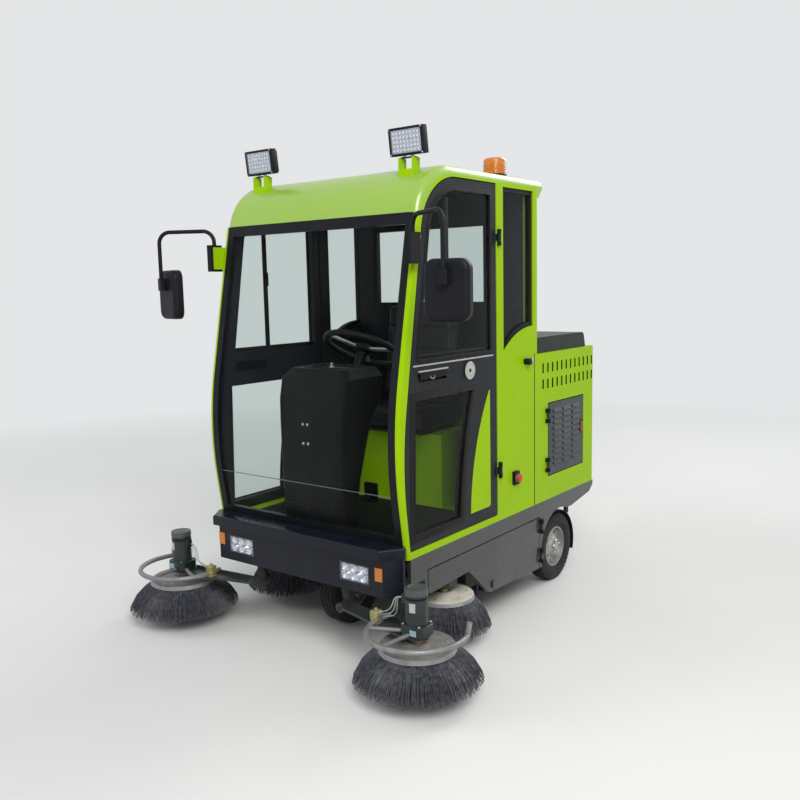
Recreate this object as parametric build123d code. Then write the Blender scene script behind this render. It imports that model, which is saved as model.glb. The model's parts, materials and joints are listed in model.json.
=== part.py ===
"""Compact enclosed road sweeper: three wheels, a one-seat cab, four side brushes and a main roller brush.

Millimetres. +Z is up, the front faces -Y and +X is the machine's own left. The lengths along Y below are
stations, counted from the foot of the front pillars. The finished nodes are moved so that the origin lies on
the ground under the middle of the machine.
"""
import os
from math import atan2, cos, pi, radians, sin, tan

from build123d import *

# Body
HALF_WIDTH = 550            # side panels' outer face
WALL = 40                   # cab side frame, pillar and wall thickness
CAB_FLOOR_UNDER = 460
FLOOR_THICK = 40
FLOOR_TOP = CAB_FLOOR_UNDER + FLOOR_THICK
CAB_REAR = 1050             # rear edge of the cab side frames
BOX_FRONT = 1024            # front edge of the rear housing
BODY_REAR = 1690
PANEL_GAP = 5               # running gap round every door and lid
ROOF_TOP = 2030
ROOF_THICK = 38
ROOF_CORNER = 245           # outer radius of the roof's front bend
ROOF_EDGE_ROUND = 36
ROOF_OVERHANG = 54
ROOF_LIP_DROP = 84

# Front profile of the cab, seen from the side: foot, belly point, lean to the roof
FRONT_FOOT_Y = -15
BELLY_Y = -84
BELLY_Z = 930
ROOF_MEET_Y = 130           # where the leaning front line would meet the roof's top
BELLY_RADIUS = 1500
CORNER_ROUND = 12           # rounding of the front pillars

# Windscreen
SCREEN_SILL_Z = 504
SCREEN_BORDER = 45          # width of the black frame at the top and foot
SCREEN_SIDE = 36            # and at its sides
PILLAR_FACE = 18            # width of a front pillar beside the windscreen frame
SCREEN_FRAME_DEPTH = 24
GLASS = 5
PANE_SUNK = 6               # the screen's outer face lies this far under the skin
SCREEN_SPLIT_Z = 715
SPLIT_GAP = 4

# Side doors
DOOR_FOOT = (6, 494)
DOOR_BELLY = (-38, 850)
DOOR_REAR_Y = 672
DOOR_TOP_Z = 1979
DOOR_SHOULDER_Y = 152
DOOR_SHOULDER_R = 248
DOOR_THICK = 36
DOOR_STILE = 44             # width of the frame round the upper window
BELT_TOP_Z = 1250
LOWER_PANE = (              # Y station and Z: front foot, front top, rear top, middle of the sweep, rear foot
    (30, 545), (46, 1100), (480, 1100), (402, 800), (374, 545),
)
BLADE = (                   # the same: foot, middle of the sweep, tip, rear top, rear foot, cut corner
    (448, 548), (492, 822), (606, 1078), (612, 1078), (612, 556), (604, 548),
)
ACCENT_DEPTH = 2.5
BLADE_PROUD = 1.5
PANE_DEPTH = 7
HANDLE_POCKET = (78, 274, 1166, 1208)
HANDLE_PROUD = 6
BADGE = (445, 1181)         # Y station and Z
BADGE_R = 39
BADGE_PROUD = 4
POCKET_DEPTH = 14
DOOR_HINGE_Y = DOOR_REAR_Y + 13
DOOR_HINGE_ZS = (700, 1750)

# Hinges: a fixed pin between two ears, and the moving knuckle that turns on it
HINGE_PIN_R = 4
HINGE_FIT = 0.05
KNUCKLE_R = 8
KNUCKLE_HALF = 15
EAR_GAP = 2
EAR_HALF = 36
HINGE_OUT = 11              # hinge line's distance outside the panel's face
STRAP = 3
HINGE_GAP_Y = 13            # leaf edge to hinge line
HINGE_FOOT = 18             # length of an ear's foot from the hinge line
HINGE_STRAP = 32            # length of the moving half's strap from the hinge line

# Cab windows
QUARTER_FRONT_Y = 735
QUARTER_REAR_Y = 1013
QUARTER_SILL = (1240, 1318, 1345)    # heights of the sill's curve at its front, middle and rear
QUARTER_HEAD_DROP = 6       # the quarter window's top lies this far under the door's
SEAL = 20
REAR_PANE_HALF = HALF_WIDTH - 150
REAR_PANE_LOW = 1440
REAR_PANE_HIGH = 1850
REAR_WALL_Y = 990
REAR_WALL_BACK = REAR_WALL_Y + 30

# Bumper
BUMPER_BACK_Y = -30
BUMPER_FACE_Y = -97
BUMPER_LOW_Z = 315
BUMPER_LIP_Z = 476
BUMPER_TOP_Z = 520
BUMPER_LIP_OUT = 30
BUMPER_WALL = 8
BUMPER_ROUND = 10
BUMPER_CUT = 62             # the corners are cut back by this much
LAMP_X = HALF_WIDTH - 215
LAMP_Z = 394
LAMP_W = 157
LAMP_H = 80
SIGNAL_X = HALF_WIDTH - 87
SIGNAL_Z = 410
SIGNAL_W = 36
SIGNAL_H = 55

# Stop switch box and body latch on the side panels
STOP_BOX = (808, 852, 606, 668)
STOP_PROUD = 16
LATCH_KNOB = (932, 1179)    # Y station and Z
KNOB_R = 15
KNOB_PROUD = 28

# Skirts
SKIRT_THICK = 18
SKIRT_TOP = CAB_FLOOR_UNDER
SKIRT_FOOT = 124
SKIRT_NOSE = ((0, 300), (115, 284))     # lower edge of the nose, Y station and Z
SKIRT_TAIL = ((1440, 372), (1650, 404), (BODY_REAR, 436))
SKIRT_STEP = (34, 96, 280, 352)         # opening in the nose for the arm of the inner brush
FLAP_OUTLINE = (            # lower edge of the flap, Y station, Z and corner radius
    (120, 280, 14), (425, 292, 40), (596, 142, 40), (1071, 124, 6),
)
FLAP_LATCH = (616, 640, 160, 190)
FLAP_LATCH_PROUD = 8
FLAP_TOP = 384              # top edge of the hinged brush flap
FLAP_FRONT_Y = 120
FLAP_REAR_Y = 1071
FLAP_HINGE_Y = FLAP_REAR_Y + 13
FLAP_HINGE_ZS = (186, 338)
ARCH_Y = 1290
ARCH_Z = 192
ARCH_R = 197

# Wheels
TYRE_R = 175
GUARD_GAP = 14
MUD_BAND = 5
TYRE_W = 86
RIM_R = 104
AXLE_R = 12
AXLE_FIT = 0.05             # running clearance between a hub and its axle
FRONT_WHEEL_Y = 262
REAR_WHEEL_Y = 1300
REAR_WHEEL_X = HALF_WIDTH - 63
FORK_HALF = 66
FORK_PLATE = 12
STEER_SHAFT_R = 25

# Chassis
RAIL_X = HALF_WIDTH - 225
RAIL_W = 50
RAIL_LOW = 405
RAIL_REAR_Y = 1660
CROSS_MEMBERS = (           # front and rear stations of each cross member
    (BUMPER_BACK_Y, 20), (FRONT_WHEEL_Y - 50, FRONT_WHEEL_Y + 50), (480, 530), (1024, 1070), (1610, 1660),
)
OUTRIGGER_YS = (0, 500, 1040, 1600)
TOW_EYE_ZS = (352, 366)
TOW_EYE_R = 11
AXLE_PLATE_X = 350          # inner face of the plate that holds a rear axle
AXLE_PLATE = 14
AXLE_OUT = 34               # the axle ends this far outside the wheel's middle

# Rear housing
SHEET = 20
BOX_CORNER = 14
LID_RIM = 60                # the deck's opening lies this far inside the lid's edge
BOX_TOP = 1205
BOX_LOW = CAB_FLOOR_UNDER
SLOT_W = 17
SLOT_H = 48
SLOT_PITCH = 50
SLOT_COUNT = 12
SLOT_FIRST_Y = 1114
SLOT_ROWS_Z = (1130, 1050)
VENT_FRONT_Y = 1168
VENT_REAR_Y = 1562
VENT_LOW_Z = 583
VENT_HIGH_Z = 948
VENT_THICK = 16
VENT_HINGE_Y = VENT_FRONT_Y - 14
VENT_HINGE_ZS = (640, 890)
LOUVRE_COLUMNS = 3
LOUVRE_ROWS = 10
LOUVRE_WIDE = 84
LOUVRE_HIGH = 17
LOUVRE_PROUD = 9
LOUVRE_PITCH_Y = 104
LOUVRE_PITCH_Z = 30
LOUVRE_MARGIN_Y = 52
LOUVRE_MARGIN_Z = 46
LID_FRONT_Y = 1070
LID_REAR_Y = 1606
LID_HALF = HALF_WIDTH - 10
LID_HEIGHT = 78
LID_WALL = 12
LID_SLOPE = 22              # the back leans in by this much at the top
LID_HINGE_Y = LID_FRONT_Y - 8
LID_HINGE_Z = BOX_TOP + 71
LID_HINGE_XS = (-300, 300)
LID_POST = 16
LID_KNUCKLE_R = 7
REAR_DOOR_HALF = HALF_WIDTH - 150
REAR_DOOR_LOW = 520
REAR_DOOR_HIGH = 1150
REAR_HINGE_X = REAR_DOOR_HALF + 14
REAR_HINGE_ZS = (620, 1040)
REAR_DOOR_THICK = 18
REAR_DOOR_CORNER = 16
REAR_HANDLE = (44 - REAR_DOOR_HALF, 62 - REAR_DOOR_HALF, 780, 920)
HANDLE_GRIP = 8             # thickness of the rear handles

# Hopper drawer
HOPPER_HALF = HALF_WIDTH - 270
HOPPER_FRONT_Y = 1075
HOPPER_LOW = 130
HOPPER_HIGH = 392
HOPPER_WALL = 10
HOPPER_MOUTH = 30           # rim left at each side of the mouth, and twice that under it
HOPPER_REAR_Y = BODY_REAR - 24
HOPPER_GRIP = (90, 300, 316)            # half width, low and high Z
FLANGE_HIGH = 12
RUNNER_SEAT = 0.3
RUNNER_FLANGE = 16

# Main roller brush and its hood
ROLLER_Y = 850
ROLLER_Z = 148
ROLLER_R = 138
ROLLER_CORE_R = 62
ROLLER_HALF = HALF_WIDTH - 210
ROLLER_ROWS = 10
ROLLER_STEPS = 7
ROLLER_STEP_TURN = 7        # degrees from one block of bristle to the next
HOOD_HALF = ROLLER_HALF + 32
HOOD_FRONT_Y = 670
HOOD_REAR_Y = 1030
HOOD_WALL = 8

# Side brushes, lifted for the road
OUTER_BRUSH = dict(x=HALF_WIDTH + 140, y=-155, tip_r=258, disc_r=146, tip_z=60, disc_z=200,
                   pivot_x=HALF_WIDTH - 288, motor_r=44, pleats=54)
INNER_BRUSH = dict(x=HALF_WIDTH - 80, y=345, tip_r=212, disc_r=130, tip_z=56, disc_z=204,
                   pivot_x=HALF_WIDTH - 325, motor_r=42, pleats=46)
DISC_THICK = 22
DISC_LIP = 4                # the disc's rim spreads this far towards its foot
DISC_BOSS_R = 40
DISC_BOSS = 8
BRISTLE_ROOT = 42           # width of the bristle ring at the disc
BRISTLE_END = 62            # and at its tips
BRISTLE_WAIST = 0.56        # share of the flare reached at the waist
BRISTLE_WAIST_Z = 0.58      # height of the waist, as a share of the bristle's height
PLEAT_DEPTH = 0.04          # depth of a pleat as a share of the radius
NUT_SIDE = 21
NUT_HIGH = 13
MOTOR_TOP = 421
INNER_MOTOR_TOP = 372
GEARBOX_TOP = 268
GUARD_R = 193
GUARD_Z = 248.5             # the hoop sinks 0.5 into a flat on the arm's plate
GUARD_FROM = 160            # degrees, from the machine's left, over which the hoop runs round the front
GUARD_SWEEP = 225
GUARD_LEGS = (204, 262)
GUARD_TUBE = 11
GUARD_LEG_R = 8
ARM_TUBE_R = 22
PIVOT_R = 11
ARM_PLATE = 10
ARM_LIP = 14                # folded edge of the arm's plate
SLEEVE_WALL = 9
SLEEVE_HALF = 22
OUTER_PIVOT_BACK = 63       # an outer arm's pivot lies this far behind its brush
GEARBOX_HALF = 46
GEARBOX_CUT = 16
MOTOR_FLANGE = 9
MOTOR_CAP = 22
CABLE_BOX = 16
SPINDLE_R = 12
SPINDLE_UP = 24

# Interior
SEAT_BOX_TOP = 850
SEAT_BOX_HALF = 290
SEAT_BOX_FRONT = 600
SEAT_BACK_Y = 852
SEAT_LEAN = 8
WHEEL_CENTRE = (400, 1262)  # steering wheel, Y station and Z
WHEEL_TILT = 28
STEERING_R = 180
STEERING_RIM = 15
DASH_TOP = 1195
PEDESTAL_ROUND = 34
PEDESTAL_RINGS = (          # height, reach to the right, reach to the left, front and back stations
    (FLOOR_TOP, 218, 140, 52, 176),
    (700, 214, 150, 44, 196),
    (960, 214, 164, 40, 262),
    (1060, 214, 172, 42, 330),
    (DASH_TOP - 40, 208, 178, 56, 334),
    (DASH_TOP, 176, 150, 96, 318),
)
PEDAL_ARM_YS = (150, 330)   # the arms run from inside the pedestal to the pads
PEDAL_XS = (40, -150)
PEDAL_WIDE = 70
COLUMN_R = 24
COLUMN_LONG = 210           # the column runs this far down from the steering wheel
COLUMN_GAP = 19.3           # and ends this far under its middle

# Mirrors and roof lamps
MIRROR = dict(x=HALF_WIDTH + 238, y=-60, z=1528, w=178, h=228, d=46, turn=14)
MIRROR_FOOT = (30, 1690)    # Y station and Z of the clamp block's middle
MIRROR_FOOT_HALF = (36, 60)
MIRROR_PLATE_HALF = 50      # half height of the painted plate behind it
MIRROR_HOLD = 28            # the plate runs this far behind the front line
MIRROR_PLATE = 6
MIRROR_TUBE_R = 9
MIRROR_CORNER = 40
MIRROR_ROUND = 20
MIRROR_BOSS_R = 27
MIRROR_BOSS_UP = 46
MIRROR_BOSS_DEPTH = 8
MIRROR_ARCH_Z = 1815
MIRROR_BEND = 52
WORK_LAMP = dict(x=HALF_WIDTH - 127, y=212, z=2124, w=168, h=116, d=44)
LAMP_FINS = 7
LAMP_FIN_DEEP = 14
LAMP_EAR_X = 34             # half the distance between a lamp's ears
LAMP_YOKE = 8
LAMP_FOOT_ZS = (1940, 2012)
BEACON = dict(x=440, y=850, r=52, h=88)

FRONT_MOST = OUTER_BRUSH["y"] - OUTER_BRUSH["tip_r"]
HANDLE_OUT = 22             # rear handles stand this far behind the body
MIDDLE_Y = (FRONT_MOST + BODY_REAR + HANDLE_OUT) / 2


def block(x0, x1, y0, y1, z0, z1):
    """Box between two corners."""
    return Pos((x0 + x1) / 2, (y0 + y1) / 2, (z0 + z1) / 2) * Box(abs(x1 - x0), abs(y1 - y0), abs(z1 - z0))


def rod(start, end, radius):
    """Round bar from start to end."""
    foot, way = Vector(*start), Vector(*end) - Vector(*start)
    bar = Cylinder(radius, way.length, align=(Align.CENTER, Align.CENTER, Align.MIN))
    return Plane(origin=foot, z_dir=way) * bar


def slab_x(outline, x0, x1):
    """Closed outline in the Y-Z plane, made solid from x0 to x1."""
    return Pos(x0, 0, 0) * extrude(Plane.YZ * make_face(outline), x1 - x0)


def slab_z(points, z0, z1):
    """Closed polygon in the X-Y plane, made solid from z0 to z1."""
    return Pos(0, 0, z0) * extrude(make_face(Polyline(*points, close=True)), z1 - z0)


def slab_y(outline, y0, y1):
    """Closed outline in the X-Z plane, made solid from y0 to y1."""
    return Pos(0, y1, 0) * extrude(Plane.XZ * make_face(outline), y1 - y0)


def both_sides(shape):
    """The left piece and its mirror image on the right."""
    return [shape, mirror(shape, about=Plane.YZ)]


def side_hinge_ears(y, z, ahead):
    """Fixed hinge half on the left side; ahead is 1 where its foot lies behind the hinge line, else -1."""
    face = HALF_WIDTH
    y0, y1 = sorted((y, y + ahead * HINGE_FOOT))
    ears = rod((face + HINGE_OUT, y, z - EAR_HALF), (face + HINGE_OUT, y, z + EAR_HALF), HINGE_PIN_R)
    for z0, z1 in ((z - EAR_HALF, z - KNUCKLE_HALF - EAR_GAP), (z + KNUCKLE_HALF + EAR_GAP, z + EAR_HALF)):
        ears += rod((face + HINGE_OUT, y, z0), (face + HINGE_OUT, y, z1), KNUCKLE_R)
        ears += block(face, face + HINGE_OUT, y0, y1, z0, z1)
    return ears


def side_knuckle(y, z, leaf_face, ahead):
    """Moving hinge half on the left side, its strap running over the leaf's outer face."""
    x = HALF_WIDTH + HINGE_OUT
    y0, y1 = sorted((y, y - ahead * HINGE_STRAP))
    strap_y = sorted((y - ahead * (HINGE_GAP_Y + 1), y - ahead * HINGE_STRAP))
    strap = block(leaf_face, HALF_WIDTH + STRAP + 1, *strap_y, z - KNUCKLE_HALF, z + KNUCKLE_HALF)
    bridge = block(HALF_WIDTH + 1, HALF_WIDTH + STRAP + 1, y0, y1, z - KNUCKLE_HALF, z + KNUCKLE_HALF)
    body = rod((x, y, z - KNUCKLE_HALF), (x, y, z + KNUCKLE_HALF), KNUCKLE_R) + strap + bridge
    return body - rod((x, y, z - EAR_HALF), (x, y, z + EAR_HALF), HINGE_PIN_R + HINGE_FIT)


def front_y(z):
    """Station of the cab's leaning front line above the belly."""
    return BELLY_Y + (ROOF_MEET_Y - BELLY_Y) * (z - BELLY_Z) / (ROOF_TOP - BELLY_Z)


LEAN = atan2(ROOF_MEET_Y - BELLY_Y, ROOF_TOP - BELLY_Z)
ROOF_BEND_Y = ROOF_MEET_Y + ROOF_CORNER * tan((radians(90) - LEAN) / 2)
ROOF_BEND = (ROOF_BEND_Y, ROOF_TOP - ROOF_CORNER)
SCREEN_TOP_Z = ROOF_BEND[1] + ROOF_CORNER * sin(LEAN)


def cab_profile(inset=0):
    """Side profile of the cab's skin, as one open line from the front foot to the rear of the roof."""
    foot = (FRONT_FOOT_Y + inset, CAB_FLOOR_UNDER)
    belly = (BELLY_Y + inset, BELLY_Z)
    meet = (ROOF_MEET_Y + inset * (1 / cos(LEAN) - tan(LEAN)), ROOF_TOP - inset)
    rear = (CAB_REAR, ROOF_TOP - inset)
    return FilletPolyline(foot, belly, meet, rear, radius=[BELLY_RADIUS - inset, ROOF_CORNER - inset])


def cab_slab(x0, x1, inset=0):
    """The whole space inside the cab's profile, solid from x0 to x1."""
    line = cab_profile(inset)
    close = Polyline(line @ 1, (CAB_REAR, CAB_FLOOR_UNDER), line @ 0)
    return slab_x(line + close, x0, x1)


def screen_band(depth_out, depth_in, low, high, half):
    """Curved sheet that follows the cab's front between two depths under the skin and two heights."""
    band = cab_slab(-half, half, depth_out) - cab_slab(-half - 1, half + 1, depth_in)
    return band & block(-half, half, BELLY_Y - 50, ROOF_BEND_Y, low, high)


def roof():
    """Roof skin that bends down to the windscreen, with rounded edges and a rain lip at the back."""
    c_y, c_z = ROOF_BEND
    inner = ROOF_CORNER - ROOF_THICK
    end, under, lip = CAB_REAR + ROOF_OVERHANG, ROOF_TOP - ROOF_THICK, ROOF_TOP - ROOF_LIP_DROP
    direction = (-cos(LEAN), sin(LEAN))
    start = (c_y + ROOF_CORNER * direction[0], c_z + ROOF_CORNER * direction[1])
    start_in = (c_y + inner * direction[0], c_z + inner * direction[1])
    half_turn = (LEAN + radians(90)) / 2
    mid = (c_y - ROOF_CORNER * cos(half_turn), c_z + ROOF_CORNER * sin(half_turn))
    mid_in = (c_y - inner * cos(half_turn), c_z + inner * sin(half_turn))
    outline = (
        ThreePointArc(start, mid, (c_y, ROOF_TOP))
        + Polyline((c_y, ROOF_TOP), (end, ROOF_TOP), (end, under), (CAB_REAR + 14, lip), (CAB_REAR, lip),
                   (CAB_REAR, under), (c_y, under))
        + ThreePointArc((c_y, under), mid_in, start_in)
        + Line(start_in, start)
    )
    return slab_x(outline, -HALF_WIDTH, HALF_WIDTH)


def rounded_roof():
    """The roof with its two long upper edges rounded."""
    skin = roof()
    side = [e for e in skin.edges() if abs(abs(e.center().X) - HALF_WIDTH) < 0.1]
    flat = [e for e in side if abs(e.center().Z - ROOF_TOP) < 0.1]
    bend = [e for e in side if e.geom_type == GeomType.CIRCLE and e.radius > ROOF_CORNER - 1]
    return fillet(flat + bend, ROOF_EDGE_ROUND)


def door_outline(grow=0):
    """Outline of a side door, or of its opening when grown by the running gap."""
    foot = (DOOR_FOOT[0] - grow, DOOR_FOOT[1] - grow)
    belly = (DOOR_BELLY[0] - grow, DOOR_BELLY[1])
    shoulder = (DOOR_SHOULDER_Y - grow, DOOR_TOP_Z + grow)
    top = (DOOR_REAR_Y + grow, DOOR_TOP_Z + grow)
    rear = (DOOR_REAR_Y + grow, DOOR_FOOT[1] - grow)
    line = FilletPolyline(foot, belly, shoulder, top, rear, radius=[BELLY_RADIUS, DOOR_SHOULDER_R + grow, 8])
    return line + Line(rear, foot)


def door_front_y(z):
    """Station of the door's leaning front edge above its belly."""
    share = (z - DOOR_BELLY[1]) / (DOOR_TOP_Z - DOOR_BELLY[1])
    return DOOR_BELLY[0] + (DOOR_SHOULDER_Y - DOOR_BELLY[0]) * share


def upper_pane():
    """Outline of a door's upper window."""
    high = DOOR_TOP_Z - DOOR_STILE
    rear = DOOR_REAR_Y - DOOR_STILE
    points = [(rear, BELT_TOP_Z), (door_front_y(BELT_TOP_Z) + DOOR_STILE, BELT_TOP_Z),
              (door_front_y(high) + DOOR_STILE, high), (rear, high)]
    return FilletPolyline(*points, close=True, radius=[12, 12, DOOR_SHOULDER_R - DOOR_STILE, 12])


def lower_pane():
    """Outline of a door's lower window, which narrows in a sweep towards its foot."""
    front_foot, front_top, rear_top, sweep_mid, rear_foot = LOWER_PANE
    return Polyline(rear_foot, front_foot, front_top, rear_top) + ThreePointArc(rear_top, sweep_mid, rear_foot)


def accent_panel():
    """Outline of the painted blade behind the lower window."""
    foot, sweep_mid, tip, rear_top, rear_foot, cut_corner = BLADE
    return Polyline(tip, rear_top, rear_foot, cut_corner, foot) + ThreePointArc(foot, sweep_mid, tip)


def quarter_pane(shrink=0):
    """Outline of the window behind a door; its sill is a rising curve."""
    front, rear = QUARTER_FRONT_Y + shrink, QUARTER_REAR_Y - shrink
    top = DOOR_TOP_Z - QUARTER_HEAD_DROP - shrink
    front_z, mid_z, rear_z = QUARTER_SILL
    sill_front, sill_rear = (front, front_z + 1.3 * shrink), (rear, rear_z + shrink)
    sill_mid = ((front + rear) / 2 - 8, mid_z + shrink)
    sill = ThreePointArc(sill_front, sill_mid, sill_rear)
    return Polyline(sill_rear, (rear, top), (front, top), sill_front) + sill


def cab_side():
    """Left cab frame: front pillar, sill, post behind the door and the panel under the quarter window."""
    frame = cab_slab(HALF_WIDTH - WALL, HALF_WIDTH) - roof()
    x0, x1 = HALF_WIDTH - WALL - 1, HALF_WIDTH + 1
    frame -= block(x0, x1, BOX_FRONT - 2, CAB_REAR + 1, CAB_FLOOR_UNDER - 1, BOX_TOP + 2)
    side = [e for e in frame.edges() if abs(e.center().X - HALF_WIDTH) < 0.1 and e.length > 100]
    front = [e for e in side if e.center().Y < front_y(SCREEN_TOP_Z) and e.center().Z < SCREEN_TOP_Z]
    frame = fillet(front, CORNER_ROUND)
    frame -= screen_band(-1, SCREEN_FRAME_DEPTH, SCREEN_SILL_Z, SCREEN_TOP_Z - 1, HALF_WIDTH - PILLAR_FACE)
    frame -= slab_x(door_outline(PANEL_GAP), x0, x1)
    return frame - slab_x(quarter_pane(), x0, x1)


def rear_wall():
    """Back wall of the cab with its window opening."""
    half = HALF_WIDTH - WALL
    wall = block(-half, half, REAR_WALL_Y, REAR_WALL_BACK, FLOOR_TOP, ROOF_TOP - ROOF_THICK)
    half = REAR_PANE_HALF
    return wall - block(-half, half, REAR_WALL_Y - 1, REAR_WALL_BACK + 1, REAR_PANE_LOW, REAR_PANE_HIGH)


def cab_floor():
    """Floor pan with the hole for the steering shaft, and the seat box on it."""
    half = HALF_WIDTH - WALL
    pan = block(-half, half, FRONT_FOOT_Y, REAR_WALL_BACK, CAB_FLOOR_UNDER, FLOOR_TOP)
    box = block(-SEAT_BOX_HALF, SEAT_BOX_HALF, SEAT_BOX_FRONT, REAR_WALL_Y, FLOOR_TOP, SEAT_BOX_TOP)
    bore = Pos(0, FRONT_WHEEL_Y, CAB_FLOOR_UNDER) * Cylinder(STEER_SHAFT_R + 8, 2 * FLOOR_THICK + 2)
    sill = screen_band(0, SCREEN_FRAME_DEPTH, CAB_FLOOR_UNDER, SCREEN_SILL_Z, half)
    return pan + box + sill - bore


def windscreen():
    """Curved screen in two panes, and the black frame that carries it, let into the pillars."""
    half = HALF_WIDTH - PILLAR_FACE
    low, high = SCREEN_SILL_Z, SCREEN_TOP_Z - 1
    pane_half, pane_low, pane_high = half - SCREEN_SIDE, low + SCREEN_BORDER, high - SCREEN_BORDER
    frame = screen_band(0, SCREEN_FRAME_DEPTH, low, high, half)
    frame -= block(-pane_half, pane_half, BELLY_Y - 60, ROOF_BEND_Y, pane_low, pane_high)
    pane = screen_band(PANE_SUNK, PANE_SUNK + GLASS, pane_low, pane_high, pane_half)
    split = block(-half, half, BELLY_Y - 60, ROOF_BEND_Y, SCREEN_SPLIT_Z, SCREEN_SPLIT_Z + SPLIT_GAP)
    return (frame - roof()).solids(), (pane - split).solids()


def window_ring(outline, inner, x0, x1):
    """Rubber seal between a window opening and its pane."""
    return slab_x(outline, x0, x1) - slab_x(inner, x0 - 1, x1 + 1)


def door():
    """Left door frame with its window openings, recess for the painted blade, handle pocket and round badge."""
    outer = HALF_WIDTH - 1
    leaf = slab_x(door_outline(), outer - DOOR_THICK, outer)
    for outline in (upper_pane(), lower_pane()):
        leaf -= slab_x(outline, outer - DOOR_THICK - 1, outer + 1)
    leaf -= slab_x(accent_panel(), outer - ACCENT_DEPTH, outer + 1)
    y0, y1, z0, z1 = HANDLE_POCKET
    leaf -= block(outer - POCKET_DEPTH, outer + 1, y0, y1, z0, z1)
    grip = block(outer - 9, outer + HANDLE_PROUD, y0 + 4, y1 - 4, z0 + 10, z1 - 4)
    grip = fillet(grip.edges().filter_by(Axis.Y), 4)
    posts = [block(outer - POCKET_DEPTH - 1, outer - 8, y, y + 14, z0 + 14, z1 - 8) for y in (y0 + 6, y1 - 20)]
    badge = rod((outer, *BADGE), (outer + BADGE_PROUD, *BADGE), BADGE_R)
    knuckles = [side_knuckle(DOOR_HINGE_Y, z, outer, 1) for z in DOOR_HINGE_ZS]
    return leaf + grip + posts + badge + knuckles


def door_blade():
    """Painted blade that fills the recess behind the lower window and stands a little proud."""
    outer = HALF_WIDTH - 1
    return slab_x(accent_panel(), outer - ACCENT_DEPTH, outer + BLADE_PROUD)


def door_panes():
    """The door's two panes, set a little under its outer face."""
    face = HALF_WIDTH - 1 - PANE_DEPTH
    return [slab_x(outline, face - GLASS, face) for outline in (upper_pane(), lower_pane())]


def bumper_plan(out, side):
    """Half plan of the bumper, mirrored: flat front, cut corners."""
    front = BUMPER_FACE_Y - out
    corner = side - BUMPER_CUT
    return [(side, BUMPER_BACK_Y), (side, BUMPER_BACK_Y - 12), (corner, front), (-corner, front),
            (-side, BUMPER_BACK_Y - 12), (-side, BUMPER_BACK_Y)]


def bumper():
    """Front bumper: overhanging shelf, folded face open to the back, and pockets for the lamps."""
    shelf = slab_z(bumper_plan(BUMPER_LIP_OUT, HALF_WIDTH), BUMPER_LIP_Z, BUMPER_TOP_Z)
    side = HALF_WIDTH - 6
    shell = slab_z(bumper_plan(0, side), BUMPER_LOW_Z, BUMPER_LIP_Z)
    cut = [(x * (1 - 14 / side), y + BUMPER_WALL if y < BUMPER_BACK_Y - 20 else y + 5)
           for x, y in bumper_plan(0, side)]
    shell -= slab_z(cut, BUMPER_LOW_Z - 1, BUMPER_LIP_Z - BUMPER_WALL)
    for x in (-1, 1):
        for middle, w, z, h in ((LAMP_X, LAMP_W, LAMP_Z, LAMP_H), (SIGNAL_X, SIGNAL_W, SIGNAL_Z, SIGNAL_H)):
            shell -= block(x * middle - w / 2, x * middle + w / 2, BUMPER_FACE_Y - 1,
                           BUMPER_FACE_Y + BUMPER_WALL + 1, z - h / 2, z + h / 2)
    upper = [e for e in shelf.edges() if e.center().Z > BUMPER_TOP_Z - 0.1]
    return fillet([e for e in upper if e.center().Y < BUMPER_BACK_Y - 1], BUMPER_ROUND) + shell


def lamp_set(middle, w, z, h, depth, proud):
    """Pair of block lamps seated in the bumper's pockets."""
    y0, y1 = BUMPER_FACE_Y - proud, BUMPER_FACE_Y + depth
    return both_sides(block(middle - w / 2, middle + w / 2, y0, y1, z - h / 2, z + h / 2))


def skirt():
    """Left fixed skirt: the long top band, the nose in front of the flap and the tail with its wheel arch."""
    x0, x1 = HALF_WIDTH - SKIRT_THICK, HALF_WIDTH
    flap_front, flap_rear, flap_top = FLAP_FRONT_Y - PANEL_GAP, FLAP_REAR_Y + PANEL_GAP, FLAP_TOP + PANEL_GAP
    tail_y, tail_z = SKIRT_TAIL[0]
    outline = Polyline((0, SKIRT_TOP), *SKIRT_NOSE, (flap_front, flap_top), (flap_rear, flap_top),
                       (flap_rear, SKIRT_FOOT), (tail_y, SKIRT_FOOT), *SKIRT_TAIL, (BODY_REAR, SKIRT_TOP),
                       close=True)
    panel = slab_x(outline, x0, x1)
    panel -= Pos(0, ARCH_Y, ARCH_Z) * Rot(0, 90, 0) * Cylinder(ARCH_R, 4 * HALF_WIDTH)
    panel -= block(x0 - 1, x1 + 1, ARCH_Y, tail_y + 1, SKIRT_FOOT - 1, tail_z - 1)
    return panel - block(x0 - 1, x1 + 1, *SKIRT_STEP)


def brush_flap():
    """Left hinged flap that gives access to the roller and the inner side brush."""
    corners = [(FLAP_FRONT_Y, FLAP_TOP, 4), *FLAP_OUTLINE, (FLAP_REAR_Y, FLAP_TOP, 4)]
    outline = FilletPolyline(*[(y, z) for y, z, _ in corners], close=True, radius=[r for _, _, r in corners])
    flap = slab_x(outline, HALF_WIDTH - SKIRT_THICK, HALF_WIDTH)
    latch = block(HALF_WIDTH, HALF_WIDTH + FLAP_LATCH_PROUD, *FLAP_LATCH)
    return flap + latch + [side_knuckle(FLAP_HINGE_Y, z, HALF_WIDTH, 1) for z in FLAP_HINGE_ZS]


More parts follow.
